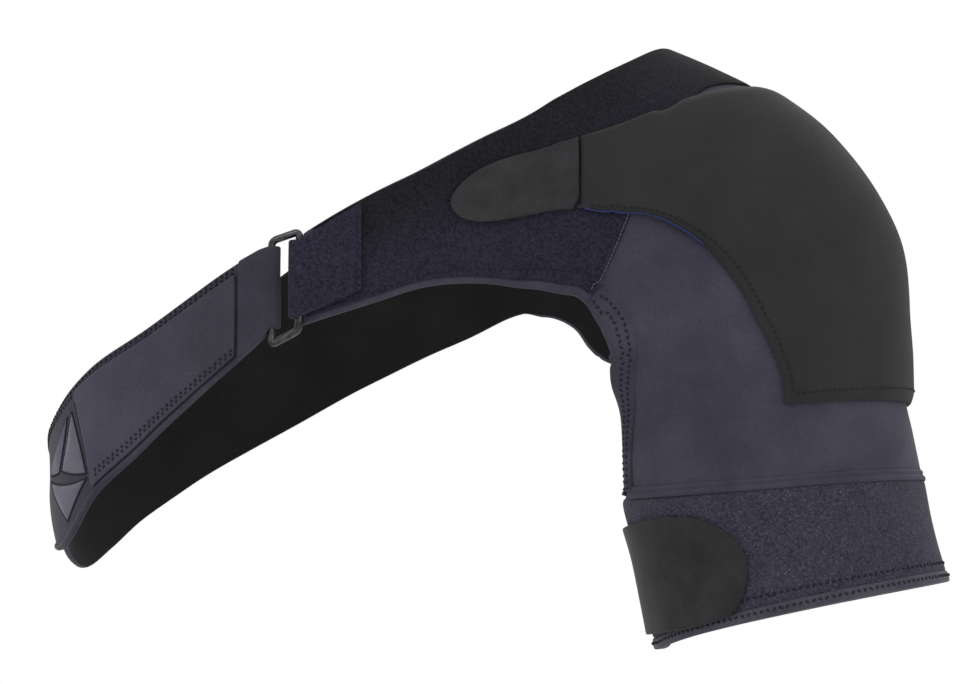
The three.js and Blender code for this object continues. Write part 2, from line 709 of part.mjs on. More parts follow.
// Arm band below the sleeve, its bound hem, and the hook tab that closes it
const band_start = -112;
const band_end = 244;
const hem_drop = 129;
const hem_dip = 12;
const ridge_turn = 90;
const edge_turn = 170;
const band_steps = 44;
const seam_rise = sleeve_ribs[0][2] * shoulder_reach;
const edge_bend = (turn) => Math.min(1, Math.abs(turn - ridge_turn) / edge_turn) ** 2;
const seam_drop = (turn) => -hem_station * shoulder_reach - seam_rise * edge_bend(turn);
const band_top = (turn) => seam_drop(turn) + clearance + 1.2 * edge_bend(turn);
const hem_at = (turn) => hem_drop + hem_dip * edge_bend(turn);
function round_arm(columns, rows, drops, inner, outer) {
  return grid(columns, rows, (u, v) => {
    const turn = mix(band_start, band_end, u);
    const [top, low] = drops(turn);
    return layer(on_sleeve(-mix(top, low, v) / shoulder_reach, turn), inner, outer);
  });
}
const band_drops = (turn) => [band_top(turn), hem_at(turn) - hem_width];
const band = round_arm(band_steps, 4, band_drops, 0, loop_band_wall);
add_piece('arm_band', cloth_solid(band), neoprene_colour, 0.9);
const hem_drops = (turn) => [hem_at(turn) - hem_width + clearance, hem_at(turn)];
const hem = round_arm(band_steps, 1, hem_drops, 0, hem_wall);
add_piece('hem_binding', cloth_solid(hem), webbing_colour, 0.8);
const arm_tab_columns = ['turn', 'top_drop', 'low_drop'];
const arm_tab_rows = [
  [-118, 85, 133],
  [-57, 84, 134],
  [-48, 85.2, 133.2],
  [-41, 87, 132],
  [-36, 90.5, 130.5],
  [-30.5, 95.5, 125],
  [-27, 101, 117],
  [-25.2, 106, 111],
];
const arm_tab_at = table_reader(arm_tab_columns, arm_tab_rows);
const arm_tab_seat = hem_wall + lay_gap;
const arm_tab_start = arm_tab_rows[0][0];
const arm_tab_end = arm_tab_rows[arm_tab_rows.length - 1][0];
const arm_tab = grid(tab_steps, tab_columns_across, (u, v) => {
  const turn = mix(arm_tab_start, arm_tab_end, 1 - (1 - u) ** 1.5);
  const row = arm_tab_at(turn);
  return layer(on_sleeve(-mix(row.top_drop, row.low_drop, v) / shoulder_reach, turn),
    arm_tab_seat, arm_tab_seat + tab_wall);
});
add_piece('arm_tab', cloth_solid(arm_tab), hook_colour, 0.85);

export default brace;
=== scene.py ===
# Shoulder brace: a neoprene sleeve and shoulder cap with a padded cover, a chest strap joined to
# a belt by a metal ring, and a hook-and-loop arm band. Metres, +Z up, -Y to the wearer's front.
from math import cos, pi, radians, sin

import bmesh
import bpy
import numpy as np
from mathutils import Matrix, Vector


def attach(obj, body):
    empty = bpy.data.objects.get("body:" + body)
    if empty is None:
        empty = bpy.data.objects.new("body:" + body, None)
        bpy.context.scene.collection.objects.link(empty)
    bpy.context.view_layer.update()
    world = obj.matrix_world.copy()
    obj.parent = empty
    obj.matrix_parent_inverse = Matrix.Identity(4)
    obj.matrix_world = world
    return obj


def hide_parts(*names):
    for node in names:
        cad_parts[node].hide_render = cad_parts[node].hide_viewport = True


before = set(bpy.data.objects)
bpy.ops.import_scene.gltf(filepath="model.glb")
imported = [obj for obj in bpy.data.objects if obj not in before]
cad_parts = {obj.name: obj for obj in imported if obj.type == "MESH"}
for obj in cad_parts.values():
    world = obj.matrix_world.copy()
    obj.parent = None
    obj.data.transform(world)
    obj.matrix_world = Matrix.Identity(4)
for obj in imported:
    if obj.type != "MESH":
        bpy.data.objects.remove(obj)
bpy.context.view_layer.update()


# Body
# One shell of 3 mm neoprene: arm sleeve, shoulder cap, front strap and long back strap. It is cut
# from flat foam with stretch jersey outside and a dark lining inside, and sewn to fit the shoulder.
crown_above_armpit = 0.111
crown_beyond_armpit = 0.063
shoulder_reach = 0.134
arm_lean = radians(7.6)
chest_half_width = 0.134
chest_half_depth = 0.100
neoprene_wall = 0.003
clearance = 0.0003

tube_columns = ["station", "middle", "half_width", "half_depth"]
tube_sections = [
    [-1.10, 0.5595, 0.4755, 0.410],
    [-0.75, 0.5395, 0.4475, 0.420],
    [-0.60, 0.523, 0.454, 0.425],
    [-0.45, 0.513, 0.459, 0.429],
    [-0.335, 0.509, 0.454, 0.433],
    [-0.15, 0.507, 0.475, 0.440],
    [0, 0.507, 0.490, 0.440],
    [0.12, 0.507, 0.503, 0.440],
    [0.264, 0.507, 0.492, 0.436],
    [0.41, 0.507, 0.457, 0.433],
    [0.543, 0.507, 0.420, 0.425],
    [0.66, 0.507, 0.400, 0.420],
    [0.79, 0.507, 0.388, 0.410],
    [1.08, 0.507, 0.320, 0.390],
]
turn_radius = 0.507 * shoulder_reach
tube_end_station = 0.85
chest_centre_inboard = 0.813 * chest_half_width
chest_centre_back = 0.12 * chest_half_depth
armpit_fillet = 0.41 * shoulder_reach
waist_taper = 0.08
waist_start = 0.5 * shoulder_reach
waist_end = 0.9 * shoulder_reach
neck_fall = radians(31)
neck_inboard = 0.302 * shoulder_reach
neck_height = 0.89 * shoulder_reach
neck_arch = 1.5 * chest_half_depth
neck_fillet = 0.6 * chest_half_depth
flank_lift = 0.45 * shoulder_reach

sleeve_columns = ["station", "front_turn", "front_shift", "back_turn", "back_shift"]
sleeve_ribs = [
    [-0.60, -80, 0.075, -80, 0.075],
    [-0.42, -74, 0.05, -64, 0.045],
    [-0.27, -65, 0.03, -50, 0.02],
    [-0.2, -61, 0.017, -45, 0.005],
    [-0.1, -56.1, -0.025, -41, -0.018],
    [0, -53.8, -0.088, -42, -0.04],
    [0.1, -52.5, -0.052, -43, -0.008],
    [0.24, -51.3, 0.01, -42, 0.053],
    [0.36, -49.5, 0.05, -39, 0.115],
    [0.48, -46.5, 0.092, -35.5, 0.168],
    [0.60, -43.5, 0.125, -31.4, 0.212],
]
hem_station = -0.60
neck_station = 0.60

strap_columns = ["along", "low_height", "top_height", "top_depth"]
strap_rows = [
    [0, 0.086, 0.957, 0.02],
    [0.1, 0.102, 0.911, 0.40],
    [0.2, 0.108, 0.832, 0.565],
    [0.3, 0.115, 0.755, 0.66],
    [0.4, 0.115, 0.681, 0.73],
    [0.5, 0.108, 0.610, 0.80],
    [0.6, 0.090, 0.539, 0.85],
    [0.7, 0.059, 0.469, 0.88],
    [0.8, 0.028, 0.408, 0.90],
    [0.9, -0.001, 0.342, 0.90],
    [1, -0.029, 0.268, 0.89],
]
strap_low_start = -0.105 * shoulder_reach
strap_top_start = 0.246 * shoulder_reach
strap_low_depth = 0.8
strap_end = -0.966 * chest_half_width

back_columns = ["along", "low_angle", "low_height", "top_angle", "top_height"]
back_rows = [
    [0, 225, 0.175, 272, 0.965],
    [0.07, 222, 0.168, 259, 0.945],
    [0.14, 217, 0.148, 247, 0.885],
    [0.22, 208, 0.092, 233, 0.80],
    [0.30, 198, 0.035, 219, 0.715],
    [0.38, 187, -0.035, 204, 0.635],
    [0.46, 175.4, -0.111, 189, 0.548],
    [0.54, 162, -0.214, 175, 0.458],
    [0.62, 148.6, -0.318, 161.7, 0.37],
    [0.70, 136, -0.427, 149, 0.235],
    [0.78, 123, -0.56, 134, 0.095],
    [0.86, 110, -0.69, 118, -0.07],
    [0.91, 98, -0.755, 102, -0.22],
    [0.955, 84, -0.68, 85, -0.36],
    [1, 68, -0.60, 68, -0.41],
]


def mix(a, b, t):
    return a + (b - a) * t


def ease(x, low, high):
    t = np.clip((x - low) / (high - low), 0, 1)
    return t * t * (3 - 2 * t)


def reader(columns, rows):
    """Reads a table at any keys, with smooth curves through its rows."""
    rows = np.array(rows, float)
    keys = rows[:, 0]
    slopes = np.zeros_like(rows)
    for row in range(len(keys)):
        before, after = max(row - 1, 0), min(row + 1, len(keys) - 1)
        slopes[row] = (rows[after] - rows[before]) / (keys[after] - keys[before])

    def read(key):
        key = np.clip(np.asarray(key, float), keys[0], keys[-1])
        row = np.clip(np.searchsorted(keys, key, side="left") - 1, 0, len(keys) - 2)
        span = (keys[row + 1] - keys[row])[..., None]
        t = (key[..., None] - keys[row][..., None]) / span
        rise = rows[row + 1] - rows[row]
        start_pull = span * slopes[row] - rise
        end_pull = rise - span * slopes[row + 1]
        values = rows[row] + t * rise + t * (1 - t) * ((1 - t) * start_pull + t * end_pull)
        return {name: values[..., column] for column, name in enumerate(columns)}

    return read


tube_at = reader(tube_columns, tube_sections)
sleeve_at = reader(sleeve_columns, sleeve_ribs)
strap_at = reader(strap_columns, strap_rows)
back_at = reader(back_columns, back_rows)


def fillet_min(a, b, size):
    t = np.clip(0.5 + 0.5 * (b - a) / size, 0, 1)
    return mix(b, a, t) - size * t * (1 - t)


def wearer(p):
    """The form the cloth lies on: below 0 inside, above 0 outside."""
    x, y, z = p[..., 0], p[..., 1], p[..., 2]
    dx = x + crown_beyond_armpit
    dz = z + crown_above_armpit
    down_arm = dx * sin(arm_lean) - dz * cos(arm_lean)
    turning = down_arm <= 0
    end = arm_lean + tube_end_station * shoulder_reach / turn_radius
    past_end = np.where(turning, np.maximum(dz * cos(end) - dx * sin(end), 0), 0)
    spread = np.where(
        turning,
        np.where(past_end > 0, dx * cos(end) + dz * sin(end), np.hypot(dx, dz)),
        dx * cos(arm_lean) + dz * sin(arm_lean),
    )
    turned_station = (np.arctan2(dz, dx) - arm_lean) * turn_radius / shoulder_reach
    station = np.where(
        turning,
        np.where(past_end > 0, tube_end_station, turned_station),
        -down_arm / shoulder_reach,
    )
    section = tube_at(station)
    armpit = tube_at(0.0)
    away = ease(np.hypot(spread, past_end), 0, turn_radius)
    half_width = mix(armpit["half_width"], section["half_width"], away) * shoulder_reach
    half_depth = mix(armpit["half_depth"], section["half_depth"], away) * shoulder_reach
    side = (spread - section["middle"] * shoulder_reach) / half_width
    tube = (np.hypot(side, y / half_depth) - 1) * (half_width + half_depth) / 2 + past_end
    waist = 1 - waist_taper * ease(-dz, waist_start, waist_end)
    chest_x = (dx + chest_centre_inboard) / (chest_half_width * waist)
    chest_y = (y - chest_centre_back) / chest_half_depth
    trunk = (np.hypot(chest_x, chest_y) - 1) * chest_half_depth
    neck = (dz - neck_height) * cos(neck_fall) + (dx - neck_inboard) * sin(neck_fall) + y * y / neck_arch
    flank = flank_lift * ease(down_arm, 0, 0.52 * shoulder_reach) \
        * ease(dx, -0.39 * chest_half_width, -0.015 * chest_half_width)
    chest = -fillet_min(-trunk, -neck, neck_fillet) + flank
    return fillet_min(chest, tube, armpit_fillet)


def outward(p):
    step = 0.00005
    slopes = []
    for axis in np.eye(3) * step:
        slopes.append((wearer(p + axis) - wearer(p - axis)) / (2 * step))
    return np.stack(slopes, -1)


def unit(p):
    return p / np.linalg.norm(p, axis=-1, keepdims=True)


def settle(p, passes=8):
    for _ in range(passes):
        slope = outward(p)
        p = p - slope * (wearer(p) / (slope * slope).sum(-1))[..., None]
    return p


def cast(start, direction):
    """Follows rays from inside the form until they come out."""
    start, direction = np.broadcast_arrays(start, direction)
    stride = 0.02 * shoulder_reach
    near = np.zeros(start.shape[:-1])
    far = near + stride
    for _ in range(120):
        inside = wearer(start + direction * far[..., None]) < 0
        if not inside.any():
            break
        near = np.where(inside, far, near)
        far = np.where(inside, far + stride, far)
    for _ in range(18):
        middle = (near + far) / 2
        inside = wearer(start + direction * middle[..., None]) < 0
        near = np.where(inside, middle, near)
        far = np.where(inside, far, middle)
    return start + direction * near[..., None]


def tube_frame(station):
    bend = np.maximum(0, station) * shoulder_reach / turn_radius
    zero = np.zeros_like(bend)
    reach = np.stack([np.cos(arm_lean + bend), zero, np.sin(arm_lean + bend)], -1)
    up = np.stack([-reach[..., 2], zero, reach[..., 0]], -1)
    armpit = np.array([-crown_beyond_armpit, 0, -crown_above_armpit])
    middle = armpit + reach * (tube_at(station)["middle"] * shoulder_reach)[..., None] \
        + up * (np.minimum(0, station) * shoulder_reach)[..., None]
    return middle, reach, up


def turned(tube, side, turn, lift):
    middle, reach, up = tube
    direction = reach * np.sin(np.radians(turn))[..., None]
    direction[..., 1] = side * np.cos(np.radians(turn))
    return cast(middle + up * np.asarray(lift)[..., None], direction)


def on_sleeve(station, turn):
    """A place on the arm, by the turn all the way round: 0 front, 90 ridge, 180 back."""
    return turned(tube_frame(station), -1, turn, np.zeros_like(turn))


def on_chest(angle, height):
    """A place on the chest, by the angle from the front to the wearer's right."""
    angle = np.radians(angle)
    start = np.stack([
        np.zeros_like(angle) - crown_beyond_armpit - chest_centre_inboard,
        np.zeros_like(angle) + chest_centre_back,
        height - crown_above_armpit,
    ], -1)
    return cast(start, np.stack([-np.sin(angle), -np.cos(angle), np.zeros_like(angle)], -1))


def strap_edge(along, start, height, depth):
    x = mix(start, strap_end, along) - crown_beyond_armpit
    z = height * shoulder_reach - crown_above_armpit
    return settle(np.stack([x, -depth * chest_half_depth, z], -1))


def strap_place(along, share):
    row = strap_at(along)
    low = strap_edge(along, strap_low_start, row["low_height"], strap_low_depth + 0 * along)
    top = strap_edge(along, strap_top_start, row["top_height"], row["top_depth"])
    flat = np.array([1.0, 0, 1.0])
    middle = (low + top) / 2 * flat
    reach = unit((top - low) * flat)
    up = np.stack([-reach[..., 2], 0 * along, reach[..., 0]], -1)

    def turn_of(p):
        return np.degrees(np.arctan2(((p - middle) * reach).sum(-1), -p[..., 1]))

    return turned((middle, reach, up), -1, mix(turn_of(low), turn_of(top), share), 0 * along)


def sleeve_place(run, share, side):
    row = sleeve_at(run)
    start = row["front_turn"] if side < 0 else row["back_turn"]
    shift = row["front_shift"] if side < 0 else row["back_shift"]
    return turned(tube_frame(run), side, mix(start, 90, share), shift * shoulder_reach * (1 - share) ** 2)


def back_strap_place(along, share):
    row = back_at(along)
    low = on_chest(row["low_angle"], row["low_height"] * shoulder_reach)
    top = on_chest(row["top_angle"], row["top_height"] * shoulder_reach)
    hub = settle((low + top) / 2)
    core = hub - unit(outward(hub)) * 0.5 * np.linalg.norm(top - low, axis=-1, keepdims=True)
    return cast(core, unit(mix(low, top, share[..., None]) - core))


def rib_place(run, share, side):
    """The cloth's own map: run up the sleeve and out along a strap, share from edge to ridge."""
    run, share = np.broadcast_arrays(np.asarray(run, float), np.asarray(share, float))
    placed = np.zeros(run.shape + (3,))
    on_cap = run <= neck_station
    if on_cap.any():
        placed[on_cap] = sleeve_place(run[on_cap], share[on_cap], side)
    if (~on_cap).any():
        along, across = run[~on_cap] - neck_station, share[~on_cap]
        strap = strap_place if side < 0 else back_strap_place
        start = sleeve_place(0 * along + neck_station, across, side) - strap(0 * along, across)
        hold = 1 - ease(along, 0, 0.14 if side < 0 else 0.07)
        placed[~on_cap] = settle(strap(along, across) + start * hold[..., None])
    return placed


def ripple(p):
    """Small soft waves that the worn cloth takes, the same in every layer."""
    x, y, z = p[..., 0], p[..., 1], p[..., 2]
    wave = np.sin(x * 71 + 24 * y + 1.3) * np.sin(z * 83 - 31 * x + 0.4)
    wave += 0.6 * np.sin(x * 43 + z * 131 + y * 57 + 2.1)
    wave += 0.35 * np.sin(x * 191 - z * 97 + y * 73 + 0.7)
    return 0.00042 * wave


def lay(p, depth):
    """Lifts places on the form to a depth of cloth above it."""
    out = unit(outward(p))
    return p + out * (np.asarray(depth) + ripple(p))[..., None], out


def cloth_grid(mesh, columns, rows, place):
    """One sheet of cloth: place(u, v) gives its points and their outward directions."""
    made = bmesh.ops.create_grid(mesh, x_segments=columns, y_segments=rows, size=0.5)["verts"]
    shares = np.array([vert.co[:2] for vert in made]) + 0.5
    points, out = place(shares[:, 0], shares[:, 1])
    line = np.linspace(0, 1, 40)
    length = np.linalg.norm(np.diff(place(line, 0 * line + 0.5)[0], axis=0), axis=1).sum()
    width = np.linalg.norm(np.diff(place(0 * line + 0.5, line)[0], axis=0), axis=1).sum()
    along_cloth = mesh.loops.layers.uv.verify()
    faces = set()
    for vert, point, share in zip(made, points, shares):
        vert.co = point
        faces.update(vert.link_faces)
        for loop in vert.link_loops:
            loop[along_cloth].uv = (share[0] * length, share[1] * width)
    faces = list(faces)
    for vert, direction in zip(made, out):
        vert.normal = Vector(direction)
    agree = 0
    for face in faces:
        side = sum((vert.normal for vert in face.verts), Vector())
        face.normal_update()
        agree += face.normal.dot(side)
    if agree < 0:
        bmesh.ops.reverse_faces(mesh, faces=faces)


def in_scene(name, data):
    made = bpy.data.objects.new(name, data)
    bpy.context.scene.collection.objects.link(made)
    return made


def smooth_piece(name, mesh, materials):
    data = bpy.data.meshes.new(name)
    mesh.to_mesh(data)
    mesh.free()
    data.polygons.foreach_set("use_smooth", [True] * len(data.polygons))
    for material in materials:
        data.materials.append(material)
    return in_scene(name, data)


def cloth_piece(name, mesh, wall, materials):
    """Gives the sheet its wall, inward from the outer face, and soft rounded edges."""
    piece = smooth_piece(name, mesh, materials)
    thicken = piece.modifiers.new("wall", "SOLIDIFY")
    thicken.thickness = wall
    thicken.offset = -1
    thicken.material_offset = len(materials) - 1
    soften = piece.modifiers.new("soft edges", "SUBSURF")
    soften.levels = 1
    soften.render_levels = 1
    return piece


def dress(piece, slot, *nodes):
    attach(piece, "root")
    if nodes:
        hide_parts(*nodes)


def finish_nodes(name, roughness, sheen=0.0, metallic=0.0, specular=0.18):
    material = bpy.data.materials.new(name)
    material.use_nodes = True
    nodes, links = material.node_tree.nodes, material.node_tree.links
    shader = nodes["Principled BSDF"]
    shader.inputs["Roughness"].default_value = roughness
    shader.inputs["Metallic"].default_value = metallic
    shader.inputs["Specular IOR Level"].default_value = specular
    if sheen:
        shader.inputs["Sheen Weight"].default_value = sheen
        shader.inputs["Sheen Roughness"].default_value = 0.45
    return material, nodes, links, shader


def noise_node(nodes, links, vector, scale, detail=2.0, roughness=0.6):
    noise = nodes.new("ShaderNodeTexNoise")
    noise.inputs["Scale"].default_value = scale
    noise.inputs["Detail"].default_value = detail
    noise.inputs["Roughness"].default_value = roughness
    links.new(vector, noise.inputs["Vector"])
    return noise.outputs["Fac"]


def ramp_node(nodes, links, factor, stops):
    ramp = nodes.new("ShaderNodeValToRGB")
    elements = ramp.color_ramp.elements
    while len(elements) < len(stops):
        elements.new(0.5)
    for element, (place, colour) in zip(elements, stops):
        element.position = place
        element.color = (*colour, 1)
    links.new(factor, ramp.inputs["Fac"])
    return ramp.outputs["Color"]


def blend_node(nodes, links, kind, factor, first, second):
    blend = nodes.new("ShaderNodeMix")
    blend.data_type = "RGBA"
    blend.blend_type = kind
    blend.inputs["Factor"].default_value = factor
    links.new(first, blend.inputs["A"])
    links.new(second, blend.inputs["B"])
    return blend.outputs["Result"]


def cloth_distance_node(nodes, links, axis):
    """The distance along the cut cloth, X, or across it, Y, in metres."""
    parts = nodes.new("ShaderNodeSeparateXYZ")
    links.new(nodes.new("ShaderNodeTexCoord").outputs["UV"], parts.inputs["Vector"])
    return parts.outputs[axis]


def knit_node(nodes, links, pitch_along, pitch_across):
    """Rows of small stitches that follow the cloth."""
    place = nodes.new("ShaderNodeTexCoord").outputs["UV"]
    waves = []
    for axis, pitch in (("X", pitch_along), ("Y", pitch_across)):
        wave = nodes.new("ShaderNodeTexWave")
        wave.bands_direction = axis
        wave.inputs["Scale"].default_value = 0.314 / pitch
        wave.inputs["Distortion"].default_value = 0.6
        wave.inputs["Detail"].default_value = 1.0
        links.new(place, wave.inputs["Vector"])
        waves.append(wave.outputs["Fac"])
    joined = nodes.new("ShaderNodeMath")
    joined.operation = "MULTIPLY"
    links.new(waves[0], joined.inputs[0])
    links.new(waves[1], joined.inputs[1])
    return joined.outputs["Value"]


def bump_nodes(nodes, links, shader, heights):
    """Adds one bump after another: (height, strength, distance)."""
    normal = None
    for height, strength, distance in heights:
        bump = nodes.new("ShaderNodeBump")
        bump.inputs["Strength"].default_value = strength
        bump.inputs["Distance"].default_value = distance
        links.new(height, bump.inputs["Height"])
        if normal:
            links.new(normal, bump.inputs["Normal"])
        normal = bump.outputs["Normal"]
    links.new(normal, shader.inputs["Normal"])


def jersey(name, dark, light, sheen=0.07, wear_and_painted_shade=None):
    """Smooth stretch jersey: fine knit, faint mottling and soft sheen. It can take painted shade along
    it.
    """
    material, nodes, links, shader = finish_nodes(name, 0.82, sheen)
    place = nodes.new("ShaderNodeTexCoord").outputs["Object"]
    mottle = noise_node(nodes, links, place, 38, 3.0, 0.55)
    speck = noise_node(nodes, links, place, 1250, 2.0, 0.7)
    knit = knit_node(nodes, links, 0.0011, 0.0009)
    broad = ramp_node(nodes, links, mottle, [(0.32, dark), (0.7, light)])
    fine = ramp_node(nodes, links, speck, [(0.3, (0.62, 0.62, 0.64)), (0.72, (1.0, 1.0, 1.0))])
    rows = ramp_node(nodes, links, knit, [(0.0, (0.8, 0.8, 0.8)), (0.8, (1.0, 1.0, 1.0))])
    colour = blend_node(nodes, links, "MULTIPLY", 0.85, broad, fine)
    colour = blend_node(nodes, links, "MULTIPLY", 0.8, colour, rows)
    # Painted shade: a ramp along the cloth darkens the colour toward one end.
    if wear_and_painted_shade:
        shade = ramp_node(nodes, links, cloth_distance_node(nodes, links, "X"), wear_and_painted_shade)
        colour = blend_node(nodes, links, "MULTIPLY", 1.0, colour, shade)
    links.new(colour, shader.inputs["Base Color"])
    bump_nodes(nodes, links, shader, [(knit, 0.5, 0.0002), (speck, 0.35, 0.00015), (mottle, 0.2, 0.0008)])
    return material


sleeve_dark = (0.040, 0.037, 0.057)
sleeve_light = (0.063, 0.058, 0.084)
lining_dark = (0.0050, 0.0050, 0.0052)
lining_light = (0.0098, 0.0097, 0.0101)
sleeve_jersey = jersey("sleeve_jersey", sleeve_dark, sleeve_light)
lining = jersey("lining", lining_dark, lining_light, 0.02)

body_columns = 34
weld_distance = 0.0004
body = bmesh.new()


def body_sleeve(u, v):
    run = mix(hem_station, neck_station, u)
    share = 1 - np.abs(2 * v - 1)
    front = v <= 0.5
    points = np.zeros(u.shape + (3,))
    points[front] = rib_place(run[front], share[front], -1)
    if (~front).any():
        points[~front] = rib_place(run[~front], share[~front], 1)
    return lay(points, neoprene_wall)


cloth_grid(body, 52, 2 * body_columns, body_sleeve)
cloth_grid(body, 38, body_columns, lambda u, v: lay(rib_place(neck_station + u, v, -1), neoprene_wall))
cloth_grid(body, 90, body_columns, lambda u, v: lay(rib_place(neck_station + u, v, 1), neoprene_wall))
bmesh.ops.remove_doubles(body, verts=body.verts, dist=weld_distance)
body_piece = cloth_piece("neoprene_body", body, neoprene_wall, [sleeve_jersey, lining])
dress(body_piece, "neoprene", "body")


# Front facing
# Brushed loop cloth laminated on the front panel, from the shoulder seam to the ring, so that the
# pad's hook tab sticks to it anywhere. Its lower edge and its seam are stitched to the neoprene.
loop_wall = 0.001
layer_gap = 0.0002
facing_base = neoprene_wall + layer_gap
facing_top = facing_base + loop_wall
seam_run = 0.53
seam_curl = 0.04
seam_sweep = 0.08
facing_low_shares = (0.02, 0.055)
facing_top_share = 0.985
facing_end_run = 1.57


def pile(name, dark, light, fuzz=0.05, wear_and_painted_shade=None, upper=None):
    """Brushed loop pile. It can take bright worn curls, and upper gives a shade toward the top edge."""
    material, nodes, links, shader = finish_nodes(name, 0.95, fuzz)
    place = nodes.new("ShaderNodeTexCoord").outputs["Object"]
    loops = noise_node(nodes, links, place, 780, 3.0, 0.75)
    curls = noise_node(nodes, links, place, 1900, 2.0, 0.7)
    patch = noise_node(nodes, links, place, 55, 3.0, 0.6)
    ground = ramp_node(nodes, links, loops, [(0.34, dark), (0.72, light)])
    shade = ramp_node(nodes, links, patch, [(0.3, (0.78, 0.78, 0.78)), (0.7, (1.0, 1.0, 1.0))])
    colour = blend_node(nodes, links, "MULTIPLY", 0.8, ground, shade)
    if upper:
        across = cloth_distance_node(nodes, links, "Y")
        fade = ramp_node(nodes, links, across, [(0.018, (1.0, 1.0, 1.0)), (0.06, upper)])
        colour = blend_node(nodes, links, "MULTIPLY", 1.0, colour, fade)
    if wear_and_painted_shade:
        bright = ramp_node(nodes, links, curls, [(wear_and_painted_shade[0], (0, 0, 0)), (wear_and_painted_shade[0] + 0.06, wear_and_painted_shade[1])])
        colour = blend_node(nodes, links, "ADD", 0.8, colour, bright)
    links.new(colour, shader.inputs["Base Color"])
    bump_nodes(nodes, links, shader, [(loops, 0.9, 0.0006), (curls, 0.7, 0.0003)])
    return material


facing_loops = pile("facing_loops", (0.006, 0.006, 0.013), (0.031, 0.028, 0.049),
                    fuzz=0.01, upper=(0.55, 0.57, 0.40))
fold_loops = pile("fold_loops", (0.006, 0.005, 0.013), (0.036, 0.032, 0.056))


def facing_place(u, v):
    start = seam_run - seam_curl * (1 - ease(v, 0, 0.25)) - seam_sweep * ease(v, 0.62, 1)
    margin = mix(*facing_low_shares, ease(u, 0.3, 0.8))
    return rib_place(mix(start, facing_end_run, u), mix(margin, facing_top_share, v), -1)


facing = bmesh.new()
cloth_grid(facing, 60, 40, lambda u, v: lay(facing_place(u, v), facing_top))
facing_piece = cloth_piece("loop_facing", facing, loop_wall, [facing_loops])
dress(facing_piece, "loop", "front_facing")


# Stitching
# Polyester thread, about 0.75 mm thick, in lock stitches 2.9 mm apart along hems, seams and edges.
# Each stitch is a small rounded grain sunk a little into the cloth.
thread_colour = (0.085, 0.080, 0.105)
dark_thread_colour = (0.012, 0.011, 0.018)
stitch_pitch = 0.0029
stitch_length = 0.0021
stitch_width = 0.00075
stitch_lift = 0.0001


def thread_finish(name, colour):
    material, nodes, links, shader = finish_nodes(name, 0.7)
    place = nodes.new("ShaderNodeTexCoord").outputs["Object"]
    twist = noise_node(nodes, links, place, 2400, 1.0, 0.5)
    low = tuple(0.7 * channel for channel in colour)
    links.new(ramp_node(nodes, links, twist, [(0.3, low), (0.7, colour)]), shader.inputs["Base Color"])
    bump_nodes(nodes, links, shader, [(twist, 0.4, 0.0002)])
    return material


thread = thread_finish("thread", thread_colour)
dark_thread = thread_finish("dark_thread", dark_thread_colour)


def sew(mesh, points, out, pitch=stitch_pitch, length=stitch_length, width=stitch_width, zigzag=0.0):
    """Sets stitches along a line of points on the cloth."""
    steps = np.linalg.norm(np.diff(points, axis=0), axis=1)
    travelled = np.concatenate([[0], np.cumsum(steps)])
    count = int(travelled[-1] / pitch)
    for number in range(count):
        place = (number + 0.5) * pitch
        row = min(np.searchsorted(travelled, place) - 1, len(steps) - 1)
        share = (place - travelled[row]) / max(steps[row], 1e-9)
        here = Vector(mix(points[row], points[row + 1], share))
        along = Vector(points[row + 1] - points[row]).normalized()
        up = Vector(unit(mix(out[row], out[row + 1], share)))
        across = up.cross(along).normalized()
        if zigzag:
            lean = zigzag if number % 2 else -zigzag
            along = (along + across * lean).normalized()
            across = up.cross(along).normalized()
        turn = Matrix((along, across, up)).transposed().to_4x4()
        size = Matrix.Diagonal((length / 2, width / 2, width / 2.4, 1))
        bmesh.ops.create_icosphere(
            mesh, subdivisions=1, radius=1, matrix=Matrix.Translation(here) @ turn @ size
        )


def sewn_piece(name, mesh, material, slot):
    dress(smooth_piece(name, mesh, [material]), slot)


def stitched_line(name, place, depth, u, v, material, slot, **how):
    mesh = bmesh.new()
    points, out = lay(place(u, v), depth + stitch_lift)
    sew(mesh, points, out, **how)
    sewn_piece(name, mesh, material, slot)


line = np.linspace(0, 1, 160)
stitched_line("facing_lower_stitches", facing_place, facing_top, mix(0.02, 0.93, line), 0 * line + 0.035,
              dark_thread, "loop")
stitched_line("shoulder_seam_stitches", facing_place, facing_top, 0 * line + 0.012, mix(0.01, 0.55, line),
              thread, "webbing", pitch=0.0019, length=0.0023, width=0.0007)


# Armhole bindings
# Folded jersey tape sewn over the cut edge of the armhole, front and back, with two rows of dark
# zigzag stitches.
binding_share = 0.045
binding_wall = 0.0016
binding_crown = 0.0013
tape_gap = 0.0004
binding_end_run = 0.47
webbing_dark = (0.030, 0.027, 0.042)
webbing_light = (0.058, 0.054, 0.078)
binding_tape = jersey("binding_tape", webbing_dark, webbing_light, 0.09)

for side, sewn, node in ((-1, "front", "front_armhole_binding"), (1, "back", "back_armhole_binding")):
    def binding_place(u, v, side=side):
        return rib_place(mix(hem_station + 0.008, binding_end_run, u), binding_share * v, side)

    def binding_outer(u, v, binding_place=binding_place):
        crown = 4 * v * (1 - v)
        return lay(binding_place(u, v), neoprene_wall + tape_gap + binding_crown * crown)

    binding = bmesh.new()
    cloth_grid(binding, 70, 8, binding_outer)
    binding_piece = cloth_piece(f"{sewn}_edge_binding", binding, binding_wall, [binding_tape])
    dress(binding_piece, "webbing", node)
    for row, share in enumerate((0.36, 0.64), 1):
        stitched_line(f"{sewn}_binding_stitches_{row}", binding_place, neoprene_wall + binding_wall,
                      line, 0 * line + share, dark_thread, "webbing", width=0.0011, zigzag=0.8)


